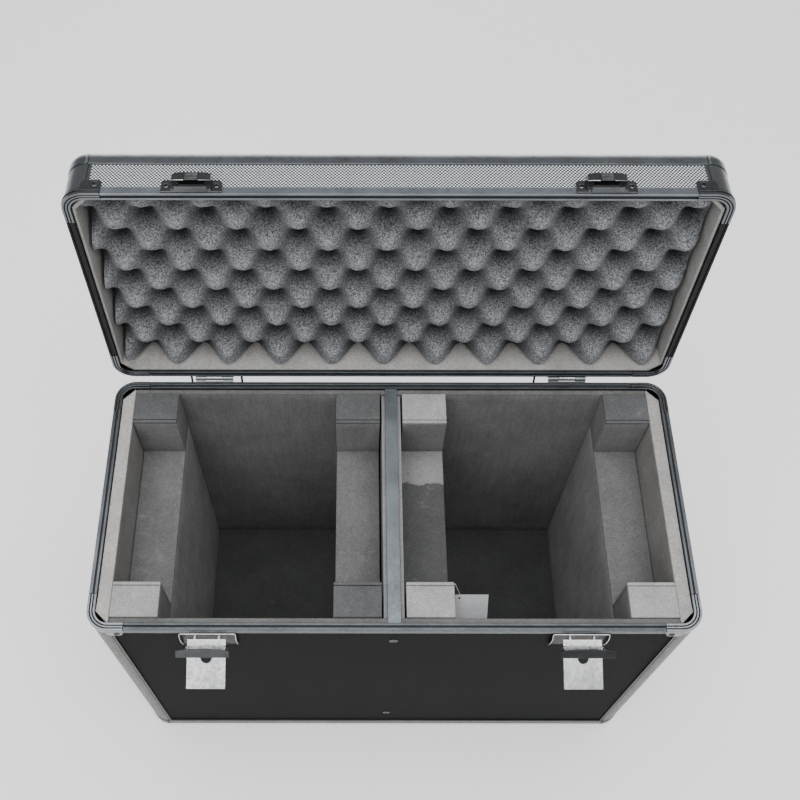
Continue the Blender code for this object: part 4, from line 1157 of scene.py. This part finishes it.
def make_catch(side, place):
    """The keeper on the lid: eared plate, arched housing with a ribbed tongue, a black plate painted as the
    shade in its mouth, and hooked lip.
    """
    node, plate, back = [f"lid_catch_{side}"], -0.1443, -0.1426
    ears = [(-0.0275, 0.0015), (0.0275, 0.0015), (0.0275, 0.0135), (0.0250, 0.0160)]
    ears += [(-0.0250, 0.0160), (-0.0275, 0.0135)]
    parts = [prism(ears, plate, back, along_y)]
    parts.append(prism(catch_housing(0.0098, 0.0200, 0.018), -0.1505, plate + 0.0005, along_y))
    for sign in (-1, 1):
        cheek = [(sign * 0.0183, 0.0018), (sign * 0.0183, 0.0100), (sign * 0.0108, 0.0100)]
        cheek += [(sign * (0.0108 + 0.0024 * t), 0.0100 - 0.0048 * t * t) for t in (0.35, 0.7, 1.0)]
        cheek += [(sign * 0.0134, 0.0034), (sign * 0.0130, 0.0018)]
        parts.append(prism(cheek, -0.1464, plate + 0.0005, along_y))
    parts.append(prism(rounded_rectangle(0.015, 0.0012, 0.0030, 0.0008), -0.1500, plate + 0.0005, along_y))
    piece(f"catch_{side}", join(*parts), "lid", "dark_chrome", node, 0.0004, place=place)
    # A black plate at the back of the mouth, painted shade for the dark opening.
    mouth = prism(rounded_rectangle(0.0128, 0.0028, 0.0100, 0.0012), -0.1450, -0.1442, along_y)
    piece(f"catch_mouth_shade_{side}", mouth, "lid", "rubber", node, place=place)
    tongue = [prism(rounded_rectangle(0.0058, 0.0092, 0.0182, 0.0006), -0.1514, -0.1503, along_y)]
    for z in (0.0112, 0.0150, 0.0172):
        tongue.append(prism(rounded_rectangle(0.0052, z, z + 0.0006, 0.0002, 2), -0.1518, -0.1512, along_y))
    piece(f"catch_tongue_{side}", join(*tongue), "lid", "tongue", node, 0.0002, place=place)
    # Bright wires along the housing's sides and under its arch, painted highlights.
    edges = []
    for sign in (-1, 1):
        path = [Vector((sign * 0.0178, -0.1503, z)) for z in (0.0185, 0.0100)]
        path += [Vector((sign * x, -0.1504, 0.0098)) for x in (0.0172, 0.0066)]
        edges.append(tube(path, 0.0003, 8))
    piece(f"catch_edge_highlights_{side}", join(*edges), "lid", "painted_edge_highlight", node, place=place)
    screws = [screw_head(0.0027, facing((0, -1, 0), (x, plate, 0.0085))) for x in (-0.0228, 0.0228)]
    piece(f"catch_screws_{side}", join(*screws), "lid", "dark_chrome", place=place)


def make_latch(side, sign):
    shift = Matrix.Translation((sign * LATCH_X, 0, 0))
    make_spring(side)
    make_latch_base(side, CASE @ shift)
    make_lever(side)
    make_claw(side)
    make_catch(side, LID @ shift)


def make_hinge(side):
    for node in ("hinge_body_leaf", "hinge_lid_leaf"):
        keep_node(f"{node}_{side}", "hinge", 0.0003)
    keep_node(f"hinge_pin_{side}", "screw", 0.0003)
    keep_node(f"lid_stay_{side}", "wire")


def make_handle(side, sign):
    keep_node(f"handle_plate_{side}", "cup", 0.0005)
    half, drop, end = 0.034, 0.036, 0.044
    bends = ((-end, 0), (-half, 0), (-half, -drop), (half, -drop), (half, 0), (end, 0))
    points = [(0, y, z) for y, z in bends]
    rod = tube(filleted(points, 0.006, 8), 0.0022, 16)
    piece(f"handle_rod_{side}", rod, f"handle_{side}", "wire", [f"carry_handle_{side}"])
    grip_half, ribs = 0.028, 11
    profile = [(0.0024, -grip_half), (0.0046, -grip_half), (0.0058, -grip_half + 0.0012)]
    for k in range(ribs):
        start = -grip_half + 0.003 + (2 * grip_half - 0.006) * k / ribs
        width = (2 * grip_half - 0.006) / ribs
        profile += [(0.0052, start), (0.0061, start + width * 0.25), (0.0061, start + width * 0.75)]
    profile += [(0.0052, grip_half - 0.003), (0.0058, grip_half - 0.0012)]
    profile += [(0.0046, grip_half), (0.0024, grip_half)]
    bm = lathe(profile, Matrix.Translation((0, 0, -drop)) @ Matrix.Rotation(-math.pi / 2, 4, "X"), 32)
    piece(f"handle_grip_{side}", bm, f"handle_{side}", "grip", [f"carry_handle_{side}"])
    rivets = []
    for y in (-0.045, 0.045):
        for z in (-0.170, -0.147):
            at = Vector((sign * (HALF_X - PANEL_INSET + GAP + 0.002), y, z))
            dome = [(0.0036, 0), (0.0034, 0.0006), (0.0026, 0.0013), (0.0012, 0.0017), (0, 0.0018)]
            rivets.append(lathe(dome, facing((sign, 0, 0), at), 24))
    piece(f"handle_rivets_{side}", join(*rivets), "case", "screw")


def make_feet():
    for corner, _, _ in CORNERS:
        node = f"rubber_foot_{corner}"
        low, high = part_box(node)
        r, height = (high.x - low.x) / 2, high.z - low.z
        middle = (low + high) / 2
        profile = [(0, 0.003), (0.0052, 0.003), (0.006, 0.0), (0.84 * r - 0.001, 0), (0.84 * r, 0.001)]
        profile += [(0.93 * r, height * 0.55), (0.93 * r, height * 0.62), (r, height * 0.7)]
        profile += [(r, height), (0, height)]
        bm = lathe(profile, Matrix.Identity(4), 40)
        place = Matrix.Translation((middle.x, middle.y, low.z))
        piece(f"foot_{corner}", bm, "case", "rubber", [node], place=place)


TAG = CASE @ Matrix.Translation((0.0798, -0.1005, -0.014)) @ rotation_x(math.radians(-37))
TAG_HOLE = (-0.0125, -0.0042, 0.0013)


def make_tag():
    """A thin card with a punched hole, slightly curled, and its string to the nearest block's corner."""
    half, height, thick = 0.017, 0.045, 0.0004
    hole_x, hole_z, radius = TAG_HOLE
    bm = plate_with_hole(half, -height, 0, thick, (hole_x, hole_z), radius)
    for v in bm.verts:
        v.co.y += 0.0006 * math.sin(math.pi * -v.co.z / height) * (0.6 + 0.4 * v.co.x / half) - thick / 2
    piece("hang_tag_card", bm, "case", "card", ["hang_tag"], place=TAG)
    block_low, block_high = local_box("right_divider_pad", CASE)
    corner = Vector((block_high.x + 0.0005, block_low.y + PAD_BLOCK - 0.0012, PAD_TOP - 0.0012))
    over = ((0.0007, hole_z + 0.0006), (0.0002, 0.0009), (-0.0004, 0.0012))
    tie = [CASE.inverted() @ (TAG @ Vector((hole_x, y, z))) for y, z in over]
    tie += [corner, corner + Vector((0, -0.003, -0.005))]
    string = tube(filleted(tie, 0.0015, 5), 0.00025, 8)
    piece("tag_string", string, "case", "string", ["hang_tag"])


def make_ground():
    bm = bmesh.new()
    bmesh.ops.create_grid(bm, x_segments=8, y_segments=8, size=6)
    mesh = bpy.data.meshes.new("studio_ground")
    bm.to_mesh(mesh)
    bm.free()
    mesh.materials.append(MATERIALS["ground"])
    obj = bpy.data.objects.new("studio_ground", mesh)
    bpy.context.collection.objects.link(obj)


# ---------------------------------------------------------------- studio


def add_area(name, at, target, size, power):
    light = bpy.data.lights.new(name, "AREA")
    light.shape = "RECTANGLE"
    light.size, light.size_y = size
    light.energy = power
    obj = bpy.data.objects.new(name, light)
    obj.location = at
    obj.rotation_euler = (Vector(target) - Vector(at)).to_track_quat("-Z", "Y").to_euler()
    obj.visible_camera = False
    bpy.context.collection.objects.link(obj)


def make_studio():
    world = bpy.data.worlds.new("studio")
    world.use_nodes = True
    background = world.node_tree.nodes["Background"]
    background.inputs["Color"].default_value = (1.0, 1.0, 1.0, 1)
    background.inputs["Strength"].default_value = 0.45
    bpy.context.scene.world = world
    add_area("overhead_softbox", (0.0, -0.2, 2.7), (0, 0, 0.4), (2.6, 2.0), 75)
    add_area("back_softbox", (0.0, 2.6, 1.0), (0, 0.2, 0.7), (2.8, 0.5), 9)
    add_area("front_softbox", (-0.9, -2.0, 2.2), (0, 0, 0.4), (1.4, 1.0), 14)


CAMERA_AT = (-0.03649, -0.45277, 1.01785)
CAMERA_TILT, CAMERA_ROLL = math.radians(29.98), math.radians(0.09)
CAMERA_LENS = 47.17
CAMERA_SHIFT = (0.0522, -0.0147)


def make_camera():
    data = bpy.data.cameras.new("photo_camera")
    data.sensor_width = 36
    data.lens = CAMERA_LENS
    data.shift_x, data.shift_y = CAMERA_SHIFT
    camera = bpy.data.objects.new("photo_camera", data)
    camera.location = CASE @ Vector(CAMERA_AT)
    camera.rotation_euler = (CAMERA_TILT, 0, 0)
    camera.rotation_euler.rotate_axis("Z", CAMERA_ROLL)
    bpy.context.collection.objects.link(camera)
    bpy.context.scene.camera = camera


def main():
    make_shell()
    make_brackets("body", "case")
    make_brackets("lid", "lid")
    make_panel_screws()
    make_linings()
    make_divider()
    make_pads()
    make_lid_tray()
    make_crate()
    for side, sign in SIDES:
        make_latch(side, sign)
        make_hinge(side)
        make_handle(side, sign)
    make_feet()
    make_tag()
    make_ground()
    make_studio()
    make_camera()


main()
bpy.context.view_layer.update()
